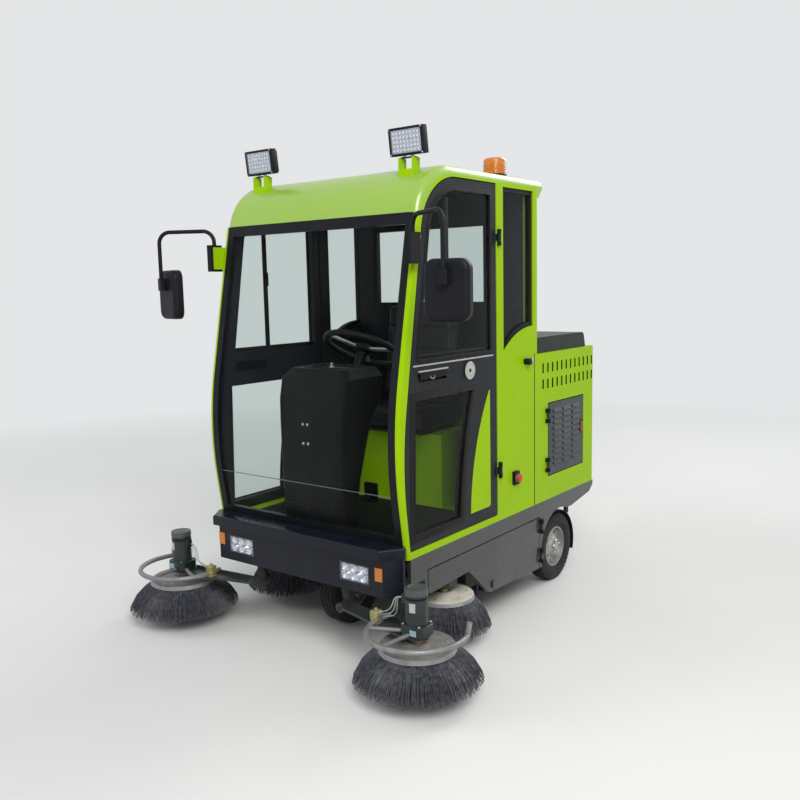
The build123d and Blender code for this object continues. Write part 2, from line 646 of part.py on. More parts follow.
def rear_housing():
    """Rear housing: slotted side walls with the vent openings, back wall with the door opening, top deck."""
    inner = HALF_WIDTH - SHEET
    housing = block(-HALF_WIDTH, HALF_WIDTH, BOX_FRONT, BODY_REAR, BOX_LOW, BOX_TOP)
    housing -= block(-inner, inner, BOX_FRONT + SHEET, BODY_REAR - SHEET, BOX_LOW - 1, BOX_TOP - SHEET)
    corner_edges = [e for e in housing.edges() if abs(abs(e.center().X) - HALF_WIDTH) < 0.1
                    and abs(e.center().Y - BODY_REAR) < 0.1]
    housing = fillet(corner_edges, BOX_CORNER)
    housing -= block(-2 * HALF_WIDTH, 2 * HALF_WIDTH, VENT_FRONT_Y - PANEL_GAP, VENT_REAR_Y + PANEL_GAP,
                     VENT_LOW_Z - PANEL_GAP, VENT_HIGH_Z + PANEL_GAP)
    for z in SLOT_ROWS_Z:
        for n in range(SLOT_COUNT):
            y = SLOT_FIRST_Y + n * SLOT_PITCH
            housing -= block(-2 * HALF_WIDTH, 2 * HALF_WIDTH, y - SLOT_W / 2, y + SLOT_W / 2,
                             z - SLOT_H / 2, z + SLOT_H / 2)
    door_half = REAR_DOOR_HALF + PANEL_GAP
    housing -= block(-door_half, door_half, BODY_REAR - SHEET - 1, BODY_REAR + 1,
                     REAR_DOOR_LOW - PANEL_GAP, REAR_DOOR_HIGH + PANEL_GAP)
    housing -= block(-LID_HALF + LID_RIM, LID_HALF - LID_RIM, LID_FRONT_Y + LID_RIM, LID_REAR_Y - LID_RIM,
                     BOX_TOP - SHEET - 1, BOX_TOP + 1)
    for x in LID_HINGE_XS:
        housing += block(x - LID_POST / 2, x + LID_POST / 2, LID_HINGE_Y - 7, LID_HINGE_Y + 4,
                         BOX_TOP - 1, LID_HINGE_Z + 6)
    return housing + lid_pins(HINGE_PIN_R)


def vent_door():
    """Left louvre door: three columns of pressed hoods on a plain leaf."""
    outer = HALF_WIDTH + 1
    leaf = block(outer - VENT_THICK, outer, VENT_FRONT_Y, VENT_REAR_Y, VENT_LOW_Z, VENT_HIGH_Z)
    for column in range(LOUVRE_COLUMNS):
        y = VENT_FRONT_Y + LOUVRE_MARGIN_Y + column * LOUVRE_PITCH_Y
        for row in range(LOUVRE_ROWS):
            z = VENT_LOW_Z + LOUVRE_MARGIN_Z + row * LOUVRE_PITCH_Z
            hood = Polyline((outer, z), (outer + LOUVRE_PROUD, z), (outer, z + LOUVRE_HIGH), close=True)
            leaf += Pos(0, y + LOUVRE_WIDE, 0) * extrude(Plane.XZ * make_face(hood), LOUVRE_WIDE)
    return leaf + [side_knuckle(VENT_HINGE_Y, z, outer, -1) for z in VENT_HINGE_ZS]


def filter_lid():
    """Black lid over the filter on the rear housing, open underneath, with a rounded back edge."""
    z0, z1 = BOX_TOP + 1, BOX_TOP + LID_HEIGHT
    back, inner = LID_REAR_Y - LID_SLOPE, LID_HALF - LID_WALL
    outline = FilletPolyline((back, z1), (LID_FRONT_Y, z1), (LID_FRONT_Y, z0), (LID_REAR_Y, z0), close=True,
                             radius=[24, 3, 3, 3])
    lid = slab_x(outline, -LID_HALF, LID_HALF)
    lid -= block(-inner, inner, LID_FRONT_Y + LID_WALL, back - LID_WALL, z0 - 1, z1 - LID_WALL)
    for x in LID_HINGE_XS:
        for s in (-1, 1):
            x0, x1 = x + s * (LID_POST / 2 + 1), x + s * (LID_POST / 2 + 8)
            lid += rod((x0, LID_HINGE_Y, LID_HINGE_Z), (x1, LID_HINGE_Y, LID_HINGE_Z), LID_KNUCKLE_R)
            lid += block(x0, x1, LID_HINGE_Y, LID_FRONT_Y + 1, LID_HINGE_Z - LID_KNUCKLE_R,
                         LID_HINGE_Z + LID_KNUCKLE_R)
    return lid - lid_pins(HINGE_PIN_R + HINGE_FIT)


def lid_pins(radius):
    """The lid's hinge pins, or their bores."""
    y, z = LID_HINGE_Y, LID_HINGE_Z
    left, right = [rod((x - LID_POST, y, z), (x + LID_POST, y, z), radius) for x in LID_HINGE_XS]
    return left + right


def rear_door():
    """Rear service door with its pull handle."""
    leaf = block(-REAR_DOOR_HALF, REAR_DOOR_HALF, BODY_REAR - REAR_DOOR_THICK, BODY_REAR,
                 REAR_DOOR_LOW, REAR_DOOR_HIGH)
    leaf = fillet(leaf.edges().filter_by(Axis.Y), REAR_DOOR_CORNER)
    x0, x1, low_z, high_z = REAR_HANDLE
    grip_y = BODY_REAR + HANDLE_OUT - HANDLE_GRIP
    grip = block(x0, x1, grip_y, BODY_REAR + HANDLE_OUT, low_z, high_z)
    tall = 2 * HANDLE_GRIP
    posts = [block(x0, x1, BODY_REAR, grip_y, z, z + tall) for z in (low_z, high_z - tall)]
    door = leaf + grip + posts
    y = BODY_REAR + HINGE_OUT
    for z in REAR_HINGE_ZS:
        low, high = z - KNUCKLE_HALF, z + KNUCKLE_HALF
        door += rod((REAR_HINGE_X, y, low), (REAR_HINGE_X, y, high), KNUCKLE_R)
        strap_x, strap_y = REAR_DOOR_HALF - HINGE_STRAP, BODY_REAR + STRAP + 1
        door += block(strap_x, REAR_DOOR_HALF, BODY_REAR, strap_y, low, high)
        door += block(strap_x, REAR_HINGE_X, BODY_REAR + 1, strap_y, low, high)
        bore = HINGE_PIN_R + HINGE_FIT
        door -= rod((REAR_HINGE_X, y, z - EAR_HALF), (REAR_HINGE_X, y, z + EAR_HALF), bore)
    return door


def rear_hinges():
    """Fixed halves of the rear door's hinges."""
    y = BODY_REAR + HINGE_OUT
    ears = []
    for z in REAR_HINGE_ZS:
        pin = rod((REAR_HINGE_X, y, z - EAR_HALF), (REAR_HINGE_X, y, z + EAR_HALF), HINGE_PIN_R)
        for z0, z1 in ((z - EAR_HALF, z - KNUCKLE_HALF - EAR_GAP), (z + KNUCKLE_HALF + EAR_GAP, z + EAR_HALF)):
            pin += rod((REAR_HINGE_X, y, z0), (REAR_HINGE_X, y, z1), KNUCKLE_R)
            pin += block(REAR_HINGE_X, REAR_HINGE_X + HINGE_FOOT, BODY_REAR, y, z0, z1)
        ears.append(pin)
    return ears


def hopper():
    """Dirt drawer behind the roller, open at the top and at the front where the roller throws in."""
    front, back, inner = HOPPER_FRONT_Y, HOPPER_REAR_Y, HOPPER_HALF - HOPPER_WALL
    tub = block(-HOPPER_HALF, HOPPER_HALF, front, back, HOPPER_LOW, HOPPER_HIGH)
    tub -= block(-inner, inner, front + HOPPER_WALL, back - HOPPER_WALL, HOPPER_LOW + HOPPER_WALL,
                 HOPPER_HIGH + 1)
    mouth = inner - HOPPER_MOUTH
    tub -= block(-mouth, mouth, front - 1, front + HOPPER_WALL + 1, HOPPER_LOW + 2 * HOPPER_MOUTH,
                 HOPPER_HIGH + 1)
    half, low_z, high_z = HOPPER_GRIP
    grip = block(-half, half, back + 18, back + 28, low_z, high_z)
    posts = [block(x, x + 14, back, back + 18, low_z, high_z) for x in (-half, half - 14)]
    for s in (-1, 1):
        tub += block(s * (HOPPER_HALF - 1), s * (HOPPER_HALF + RUNNER_FLANGE), front, back,
                     HOPPER_HIGH - FLANGE_HIGH, HOPPER_HIGH)
    return tub + grip + posts


def runner(s):
    """Channel under a rail that the drawer's flange slides in."""
    x = HOPPER_HALF + RUNNER_FLANGE
    shelf_z = HOPPER_HIGH - FLANGE_HIGH - RUNNER_SEAT
    web = block(s * (x + 3), s * (x + 9), HOPPER_FRONT_Y, RAIL_REAR_Y, shelf_z - 5, RAIL_LOW)
    return web + block(s * (HOPPER_HALF + 4), s * (x + 9), HOPPER_FRONT_Y, RAIL_REAR_Y, shelf_z - 5, shelf_z)


def chassis():
    """Welded frame: two rails, cross members, steering head, wheel brackets and brush hangers."""
    z0, z1 = RAIL_LOW, CAB_FLOOR_UNDER
    inner = RAIL_X - RAIL_W / 2
    frame = block(inner, inner + RAIL_W, BUMPER_BACK_Y, RAIL_REAR_Y, z0, z1)
    frame += block(-inner - RAIL_W, -inner, BUMPER_BACK_Y, RAIL_REAR_Y, z0, z1)
    for y0, y1 in CROSS_MEMBERS:
        frame += block(-inner, inner, y0, y1, z0, z1)
    for y in OUTRIGGER_YS:
        for s in (-1, 1):
            frame += block(s * (inner + RAIL_W), s * (HALF_WIDTH - SKIRT_THICK), y, y + 30, z0 + 12, z1)
    frame += block(-480, 480, BUMPER_BACK_Y - 34, BUMPER_BACK_Y, z0 + 34, BUMPER_LIP_Z - BUMPER_WALL)
    frame -= Pos(0, FRONT_WHEEL_Y, 430) * Cylinder(STEER_SHAFT_R + AXLE_FIT, 200)
    eye_low, eye_high = TOW_EYE_ZS
    lug = block(-30, 30, BUMPER_BACK_Y - 46, BUMPER_BACK_Y, eye_low, eye_high)
    lug += block(-30, 30, BUMPER_BACK_Y, BUMPER_BACK_Y + 12, eye_low, z0)
    frame += lug - Pos(0, BUMPER_BACK_Y - 22, (eye_low + eye_high) / 2) * Cylinder(TOW_EYE_R, 20)
    for s in (-1, 1):
        plate_x = AXLE_PLATE_X + AXLE_PLATE
        frame += block(s * AXLE_PLATE_X, s * plate_x, REAR_WHEEL_Y - 60, REAR_WHEEL_Y + 60, 130, z0 + 10)
        axle_end = (s * (REAR_WHEEL_X + AXLE_OUT), REAR_WHEEL_Y, TYRE_R)
        frame += rod((s * plate_x, REAR_WHEEL_Y, TYRE_R), axle_end, AXLE_R)
        frame += hangers(s) + runner(s)
    return frame


def hangers(s):
    """The lugs that carry each side brush arm on this side of the machine, with their pivot pins."""
    x, z = OUTER_BRUSH["pivot_x"], pivot_z(OUTER_BRUSH)
    front = OUTER_BRUSH["y"] + OUTER_PIVOT_BACK - SLEEVE_HALF - 3
    lug_y = OUTER_BRUSH["y"] + OUTER_PIVOT_BACK + SLEEVE_HALF + 3
    elbow = (s * x, lug_y + ARM_TUBE_R, RAIL_LOW - 26)
    tube = rod((s * x, elbow[1], z), elbow, ARM_TUBE_R) + Pos(*elbow) * Sphere(ARM_TUBE_R)
    tube += rod(elbow, (s * x, BUMPER_BACK_Y + 30, RAIL_LOW + 14), ARM_TUBE_R)
    boss = rod((s * x, lug_y, z), (s * x, lug_y + 2 * ARM_TUBE_R + 4, z), ARM_TUBE_R + 4)
    lugs = tube + boss + rod((s * x, front, z), (s * x, lug_y + 1, z), PIVOT_R)
    x, y, z = INNER_BRUSH["pivot_x"], INNER_BRUSH["y"], pivot_z(INNER_BRUSH)
    post = block(s * (x - 16), s * (RAIL_X - RAIL_W / 2), y + 34, y + 64, z - 20, RAIL_LOW + 10)
    return lugs + post + rod((s * x, y - 24, z), (s * x, y + 34, z), PIVOT_R)


def pivot_z(brush):
    """Height of a brush arm's pivot."""
    return brush["disc_z"] + 34


def tyre(x, y):
    """Tyre with square shoulders and flat walls, lying across the machine."""
    half, r, bead = TYRE_W / 2, TYRE_R, RIM_R
    points = [(-half + 8, bead), (-half, bead + 16), (-half, r - 20), (-half + 14, r), (half - 14, r),
              (half, r - 20), (half, bead + 16), (half - 8, bead)]
    return Pos(x, y, r) * revolve(make_face(Polyline(*points, close=True)), Axis.X)


def rim(x, y, face):
    """Pressed wheel disc with hub; face is the side, 1 or -1, that its dish shows."""
    body = revolve(make_face(Polyline(*rim_section(), close=True)), Axis.X)
    for n in range(5):
        angle = radians(72 * n)
        body -= Pos(0, 70 * cos(angle), 70 * sin(angle)) * Rot(0, 90, 0) * Cylinder(9, 200)
    if face < 0:
        body = mirror(body, about=Plane.YZ)
    return Pos(x, y, TYRE_R) * body


def rim_section():
    """Half section of the rim: barrel under the tyre, dished web and bored hub."""
    half = TYRE_W / 2 - 10
    bore = AXLE_R + AXLE_FIT
    outer_face = [(-half, RIM_R), (half, RIM_R), (half, RIM_R - 8), (12, RIM_R - 12), (20, 56), (half, 44)]
    inner_face = [(-half, 30), (0, 36), (8, 50), (0, RIM_R - 12), (-half, RIM_R - 8)]
    return outer_face + [(half, bore), (-half, bore)] + inner_face


def front_fork():
    """Steering fork: shaft, crown and two legs with the wheel's axle."""
    crown_z = TYRE_R * 2 + 16
    leg = block(FORK_HALF - FORK_PLATE, FORK_HALF, FRONT_WHEEL_Y - 34, FRONT_WHEEL_Y + 34, TYRE_R - 24, crown_z)
    fork = block(-FORK_HALF, FORK_HALF, FRONT_WHEEL_Y - 50, FRONT_WHEEL_Y + 50, crown_z, crown_z + 16)
    fork += both_sides(leg)
    collar_z = RAIL_LOW - RUNNER_SEAT
    fork += rod((0, FRONT_WHEEL_Y, crown_z + 16), (0, FRONT_WHEEL_Y, collar_z), 44)
    fork += rod((0, FRONT_WHEEL_Y, collar_z), (0, FRONT_WHEEL_Y, CAB_FLOOR_UNDER + 24), STEER_SHAFT_R)
    return fork + rod((-FORK_HALF, FRONT_WHEEL_Y, TYRE_R), (FORK_HALF, FRONT_WHEEL_Y, TYRE_R), AXLE_R)


def pleated_ring(radius, pleats):
    """Star-shaped outline of the bristle at one height."""
    count = 2 * pleats
    points = []
    for n in range(count):
        reach = radius * (1 - PLEAT_DEPTH * (n % 2))
        points.append((reach * cos(2 * pi * n / count), reach * sin(2 * pi * n / count)))
    return make_face(Polyline(*points, close=True))


def side_brush(b):
    """Rotating side brush: disc with its boss, nut and spindle, and a flared, pleated ring of bristle."""
    z, disc_r, tip_r, tip_z = b["disc_z"], b["disc_r"], b["tip_r"], b["tip_z"]
    seat = z - DISC_THICK
    outline = Polyline((0, z + DISC_BOSS), (DISC_BOSS_R, z + DISC_BOSS), (DISC_BOSS_R + 20, z), (disc_r, z),
                       (disc_r + DISC_LIP, seat), (0, seat), close=True)
    brush = revolve(make_face(Plane.XZ * outline), Axis.Z)
    waist = (disc_r + BRISTLE_WAIST * (tip_r - disc_r), tip_z + BRISTLE_WAIST_Z * (seat - tip_z))
    rings = ((disc_r, seat), waist, (tip_r, tip_z))
    sections = [Pos(0, 0, height) * pleated_ring(radius, b["pleats"]) for radius, height in rings]
    bristle = loft(sections, ruled=True)
    hollow = Polyline((0, seat), (disc_r - BRISTLE_ROOT, seat), (tip_r - BRISTLE_END, tip_z), (0, tip_z),
                      close=True)
    brush += bristle - revolve(make_face(Plane.XZ * hollow), Axis.Z)
    nut_foot = z + DISC_BOSS
    brush += Pos(0, 0, nut_foot) * extrude(RegularPolygon(NUT_SIDE, 6), NUT_HIGH)
    return brush + rod((0, 0, nut_foot), (0, 0, pivot_z(b) - ARM_PLATE / 2 + SPINDLE_UP), SPINDLE_R)


def arm_pivot_y(b, outer):
    """Station of an arm's pivot sleeve: beside the brush's middle, or behind it on an outer arm."""
    return b["y"] + OUTER_PIVOT_BACK if outer else b["y"]


def brush_arm(b, outer):
    """Left brush arm: pivot sleeve, folded plate, gearbox, flanged motor with its cap and cable box."""
    x, y, z = b["x"], b["y"], pivot_z(b)
    motor_top = MOTOR_TOP if outer else INNER_MOTOR_TOP
    pivot_x, pivot_y = b["pivot_x"], arm_pivot_y(b, outer)
    sleeve_r = PIVOT_R + SLEEVE_WALL
    half = SLEEVE_HALF
    plate_low = z - ARM_PLATE / 2
    plate_top = plate_low + ARM_PLATE
    plan = [(pivot_x + 8, pivot_y - half), (pivot_x + 8, pivot_y + half), (x - 40, y + GEARBOX_HALF),
            (x + 30, y + GEARBOX_HALF), (x + 52, y), (x + 30, y - GEARBOX_HALF), (x - 60, y - GEARBOX_HALF)]
    arm = rod((pivot_x, pivot_y - half, z), (pivot_x, pivot_y + half, z), sleeve_r)
    arm += slab_z(plan, plate_low, plate_top)
    lip_x, lip_y = pivot_x + 24, pivot_y + half - 1
    lip_end_x, lip_end_y = x - 52, y + GEARBOX_HALF - 2
    lip = [(lip_x, lip_y), (lip_end_x, lip_end_y), (lip_end_x, lip_end_y - 7), (lip_x, lip_y - 7)]
    arm += slab_z(lip, plate_top, plate_top + ARM_LIP)
    arm -= rod((pivot_x, pivot_y - 60, z), (pivot_x, pivot_y + 60, z), PIVOT_R + AXLE_FIT)
    gearbox = chamfer(Rectangle(2 * GEARBOX_HALF + 8, 2 * GEARBOX_HALF).vertices(), GEARBOX_CUT)
    arm += Pos(x, y, plate_top) * extrude(gearbox, GEARBOX_TOP - plate_top)
    arm += rod((x, y, GEARBOX_TOP), (x, y, GEARBOX_TOP + MOTOR_FLANGE), b["motor_r"] + 5)
    arm += rod((x, y, GEARBOX_TOP), (x, y, motor_top - MOTOR_CAP), b["motor_r"])
    cap = rod((x, y, motor_top - MOTOR_CAP), (x, y, motor_top), b["motor_r"] + 1.5)
    arm += fillet(cap.edges().filter_by(GeomType.CIRCLE).sort_by(Axis.Z)[-1], 5)
    if outer:
        reach = b["motor_r"] + CABLE_BOX
        arm += block(x - reach, x, y - 13, y + 13, motor_top - MOTOR_CAP - 46, motor_top - MOTOR_CAP - 10)
    return arm - rod((x, y, plate_low - 1), (x, y, plate_low + SPINDLE_UP + 1), SPINDLE_R + AXLE_FIT)


def guard(b):
    """Left hoop round an outer brush's disc: an open ring of tube on two legs, its outer end turned up."""
    x, y = b["x"], b["y"]
    ring = Pos(x, y, GUARD_Z) * Rot(0, 0, GUARD_FROM) * revolve(
        make_face(Plane.XZ * Pos(GUARD_R, 0) * Circle(GUARD_TUBE)), Axis.Z, GUARD_SWEEP)
    end = radians(GUARD_FROM + GUARD_SWEEP)
    tip = (x + GUARD_R * cos(end), y + GUARD_R * sin(end), GUARD_Z)
    ring += Pos(*tip) * Sphere(GUARD_TUBE)
    ring += rod(tip, (tip[0] + 3, tip[1] + 10, GUARD_Z + 46), GUARD_TUBE)
    for angle in GUARD_LEGS:
        way = (cos(radians(angle)), sin(radians(angle)))
        near, far = 40, GUARD_R
        start = (x + near * way[0], y + near * way[1], GUARD_Z)
        ring += rod(start, (x + far * way[0], y + far * way[1], GUARD_Z), GUARD_LEG_R)
    return ring - brush_arm(b, True)


def roller():
    """Main roller brush: core tube with rows of bristle blocks that step round it as a helix."""
    core = rod((-ROLLER_HALF, 0, 0), (ROLLER_HALF, 0, 0), ROLLER_CORE_R)
    step = 2 * ROLLER_HALF / ROLLER_STEPS
    for row in range(ROLLER_ROWS):
        for n in range(ROLLER_STEPS):
            x0 = -ROLLER_HALF + n * step + 1
            turn = 360 / ROLLER_ROWS * row + ROLLER_STEP_TURN * abs(n - (ROLLER_STEPS - 1) / 2)
            core += Rot(turn, 0, 0) * block(x0, x0 + step - 2, -11, 11, ROLLER_CORE_R - 4, ROLLER_R)
    core += rod((-ROLLER_HALF - 30, 0, 0), (ROLLER_HALF + 30, 0, 0), 15)
    return Pos(0, ROLLER_Y, ROLLER_Z) * core


def brush_hood():
    """Hood over the roller, open underneath and at the back, with bearing holes in its end plates."""
    hood = block(-HOOD_HALF, HOOD_HALF, HOOD_FRONT_Y, HOOD_REAR_Y, 96, RAIL_LOW)
    inner = ROLLER_HALF + 24
    hood -= block(-inner, inner, HOOD_FRONT_Y + HOOD_WALL, HOOD_REAR_Y + 1, 95, RAIL_LOW - HOOD_WALL)
    return hood - rod((-HOOD_HALF - 1, ROLLER_Y, ROLLER_Z), (HOOD_HALF + 1, ROLLER_Y, ROLLER_Z), 15 + AXLE_FIT)


def mudguards():
    """Black bands over the rear of the rear wheels, fixed to the skirts."""
    guard_r = TYRE_R + GUARD_GAP
    inner_x, outer_x = REAR_WHEEL_X - TYRE_W / 2 - 4, REAR_WHEEL_X + TYRE_W / 2 + 1
    band = rod((inner_x, REAR_WHEEL_Y, TYRE_R), (outer_x, REAR_WHEEL_Y, TYRE_R), guard_r + MUD_BAND)
    band -= rod((inner_x - 1, REAR_WHEEL_Y, TYRE_R), (outer_x + 1, REAR_WHEEL_Y, TYRE_R), guard_r)
    band &= block(inner_x, outer_x, REAR_WHEEL_Y - 20, REAR_WHEEL_Y + 400, 118, 400)
    tab = block(outer_x - 12, HALF_WIDTH - SKIRT_THICK, 1400, 1430, 330, 402)
    tab -= rod((inner_x - 1, REAR_WHEEL_Y, TYRE_R), (HALF_WIDTH, REAR_WHEEL_Y, TYRE_R), guard_r + MUD_BAND - 1)
    return both_sides(band + tab)


def seat():
    """Seat frame, and the two pads on it."""
    low = SEAT_BOX_TOP
    lean = Pos(0, SEAT_BACK_Y, low + 20) * Rot(-SEAT_LEAN, 0, 0)
    frame = block(-210, 210, SEAT_BACK_Y - 296, SEAT_BACK_Y + 34, low, low + 14)
    frame += lean * block(-190, 190, 14, 24, -16, 560)
    cushion = fillet(block(-240, 240, SEAT_BACK_Y - 345, SEAT_BACK_Y - 15, low + 14.3, low + 120).edges(), 32)
    back = fillet((lean * block(-230, 230, -72, 13.7, 104, 590)).edges(), 30)
    return frame, [cushion, back]


def dash():
    """Moulded steering pedestal with its rounded cowl, the column and two pedals."""
    floor = FLOOR_TOP
    faces = []
    for z, right, left, front, back in PEDESTAL_RINGS:
        ring = RectangleRounded(left + right, back - front, PEDESTAL_ROUND)
        faces.append(Pos((left - right) / 2, (front + back) / 2, z) * ring)
    body = loft(faces, ruled=True)
    tilt = radians(WHEEL_TILT)
    y, z = WHEEL_CENTRE
    low, high = [(0, y - reach * sin(tilt), z - reach * cos(tilt)) for reach in (COLUMN_LONG, COLUMN_GAP)]
    fore, rear = PEDAL_ARM_YS
    pedals = []
    for x in PEDAL_XS:
        pad = block(x, x + PEDAL_WIDE, rear, rear + 12, floor + 60, floor + 150)
        pedals.append(pad + block(x + 28, x + 42, fore, rear, floor + 80, floor + 100))
    return body + rod(low, high, COLUMN_R) + pedals


def steering_wheel():
    """Steering wheel with three spokes, tilted towards the driver."""
    rim_ring = revolve(make_face(Plane.XZ * Pos(STEERING_R, 0) * RegularPolygon(STEERING_RIM, 8)), Axis.Z)
    hub = Pos(0, 0, -4) * Cylinder(36, 30)
    for angle in (0, 120, 240):
        hub += Rot(0, 0, angle) * block(20, STEERING_R - 4, -13, 13, -6, 4)
    y, z = WHEEL_CENTRE
    return Pos(0, y, z) * Rot(-WHEEL_TILT, 0, 0) * (rim_ring + hub)


def mirror_arm():
    """Left mirror bracket and its hooped tube, which ends in a clamp on the housing's boss."""
    y, z = MIRROR_FOOT
    foot_x = HALF_WIDTH + MIRROR_PLATE
    half_y, half_z = MIRROR_FOOT_HALF
    foot = block(foot_x, foot_x + 26, y - half_y, y + half_y, z - half_z, z + half_z)
    foot = fillet(foot.edges().filter_by(Axis.Z), 5)
    m = MIRROR
    back = (sin(radians(m["turn"])), -cos(radians(m["turn"])))
    reach = m["d"] / 2 + MIRROR_BOSS_DEPTH + MIRROR_TUBE_R + 3
    tail = (m["x"] + back[0] * reach, m["y"] + back[1] * reach)
    root = (foot_x + 13, y)
    boss_z = m["z"] + MIRROR_BOSS_UP
    path = FilletPolyline((*root, z + 40), (*root, MIRROR_ARCH_Z), (*tail, MIRROR_ARCH_Z), (*tail, boss_z),
                          radius=MIRROR_BEND)
    tube = sweep(Plane(origin=path @ 0, z_dir=path % 0) * Circle(MIRROR_TUBE_R), path=path)
    turned = Pos(tail[0], tail[1], boss_z) * Rot(0, 0, m["turn"])
    grip = block(-17, 17, -MIRROR_TUBE_R - 3, MIRROR_TUBE_R + 3, -26, 30)
    clamp = turned * fillet(grip.edges().filter_by(Axis.Z), 5)
    return foot + tube + clamp


def mirror_plate():
    """Left painted plate that carries the mirror's clamp block ahead of the front pillar."""
    y, z = MIRROR_FOOT
    low, high = z - MIRROR_PLATE_HALF, z + MIRROR_PLATE_HALF
    outline = Polyline((y - 20, low), (front_y(low) + MIRROR_HOLD, low), (front_y(high) + MIRROR_HOLD, high),
                       (y - 20, high), close=True)
    return slab_x(outline, HALF_WIDTH, HALF_WIDTH + MIRROR_PLATE)


def mirror_head():
    """Left mirror housing: a rounded box with a ball joint's boss on its back and a recess for the glass."""
    m = MIRROR
    shell = extrude(RectangleRounded(m["w"], m["h"], MIRROR_CORNER), m["d"])
    back_edges = shell.edges().group_by(Axis.Z)[-1]
    shell = fillet(back_edges, MIRROR_ROUND)
    shell -= extrude(RectangleRounded(m["w"] - 16, m["h"] - 16, MIRROR_CORNER - 8), 3)
    foot, top = (0, MIRROR_BOSS_UP, m["d"]), (0, MIRROR_BOSS_UP, m["d"] + MIRROR_BOSS_DEPTH)
    shell += rod(foot, top, MIRROR_BOSS_R)
    return Pos(m["x"], m["y"], m["z"]) * Rot(0, 0, m["turn"]) * Pos(0, m["d"] / 2, 0) * Rot(90, 0, 0) * shell


def work_lamp():
    """Left roof lamp: finned housing in its cradle, and the two painted ears that carry it."""
    lamp = WORK_LAMP
    x, y, z, w, h, d = (lamp[k] for k in "xyzwhd")
    back, low, high = y + d / 2, z - h / 2, z + h / 2
    housing = block(x - w / 2, x + w / 2, y - d / 2, back, low, high)
    housing = fillet(housing.edges().filter_by(Axis.Y), 10)
    for n in range(LAMP_FINS):
        fin_x = x - w / 2 + 21 + n * (w - 42) / (LAMP_FINS - 1)
        housing += block(fin_x - 2, fin_x + 2, back, back + LAMP_FIN_DEEP, low + 10, high - 10)
    return housing + block(x - LAMP_EAR_X, x + LAMP_EAR_X, y - 12, y + 12, low - LAMP_YOKE, low)


def lamp_ears():
    """Left pair of ears welded to the roof under a lamp, cut to the roof's curve."""
    lamp = WORK_LAMP
    x, y = lamp["x"], lamp["y"]
    top = lamp["z"] - lamp["h"] / 2 - LAMP_YOKE
    low, high = LAMP_FOOT_ZS
    body = block(x - LAMP_EAR_X - 3, x + LAMP_EAR_X + 3, y - 24, y + 24, low, high)
    for ear_x in (x - LAMP_EAR_X, x + LAMP_EAR_X):
        body += block(ear_x - 3, ear_x + 3, y - 24, y + 24, low, top)
    return body - cab_slab(-HALF_WIDTH - 1, HALF_WIDTH + 1)


def fittings():
    """Black small fittings on both sides: stop switch box, body latch, door, flap and vent hinges."""
    face = HALF_WIDTH
    knob_y, knob_z = LATCH_KNOB
    left = [block(face, face + STOP_PROUD, *STOP_BOX),
            rod((face, knob_y, knob_z), (face + KNOB_PROUD, knob_y, knob_z), KNOB_R)]
    left += [side_hinge_ears(DOOR_HINGE_Y, z, 1) for z in DOOR_HINGE_ZS]
    left += [side_hinge_ears(FLAP_HINGE_Y, z, 1) for z in FLAP_HINGE_ZS]
    left += [side_hinge_ears(VENT_HINGE_Y, z, -1) for z in VENT_HINGE_ZS]
    return [piece for shape in left for piece in both_sides(shape)]


def beacon():
    """Amber roof beacon on its foot."""
    b = BEACON
    foot = Pos(b["x"], b["y"], ROOF_TOP + 6) * Cylinder(b["r"] + 4, 12)
    dome = Pos(b["x"], b["y"], ROOF_TOP + 12 + (b["h"] - 12) / 2) * Cylinder(b["r"], b["h"] - 12)
    return foot, fillet(dome.edges().sort_by(Axis.Z)[-1], 14)


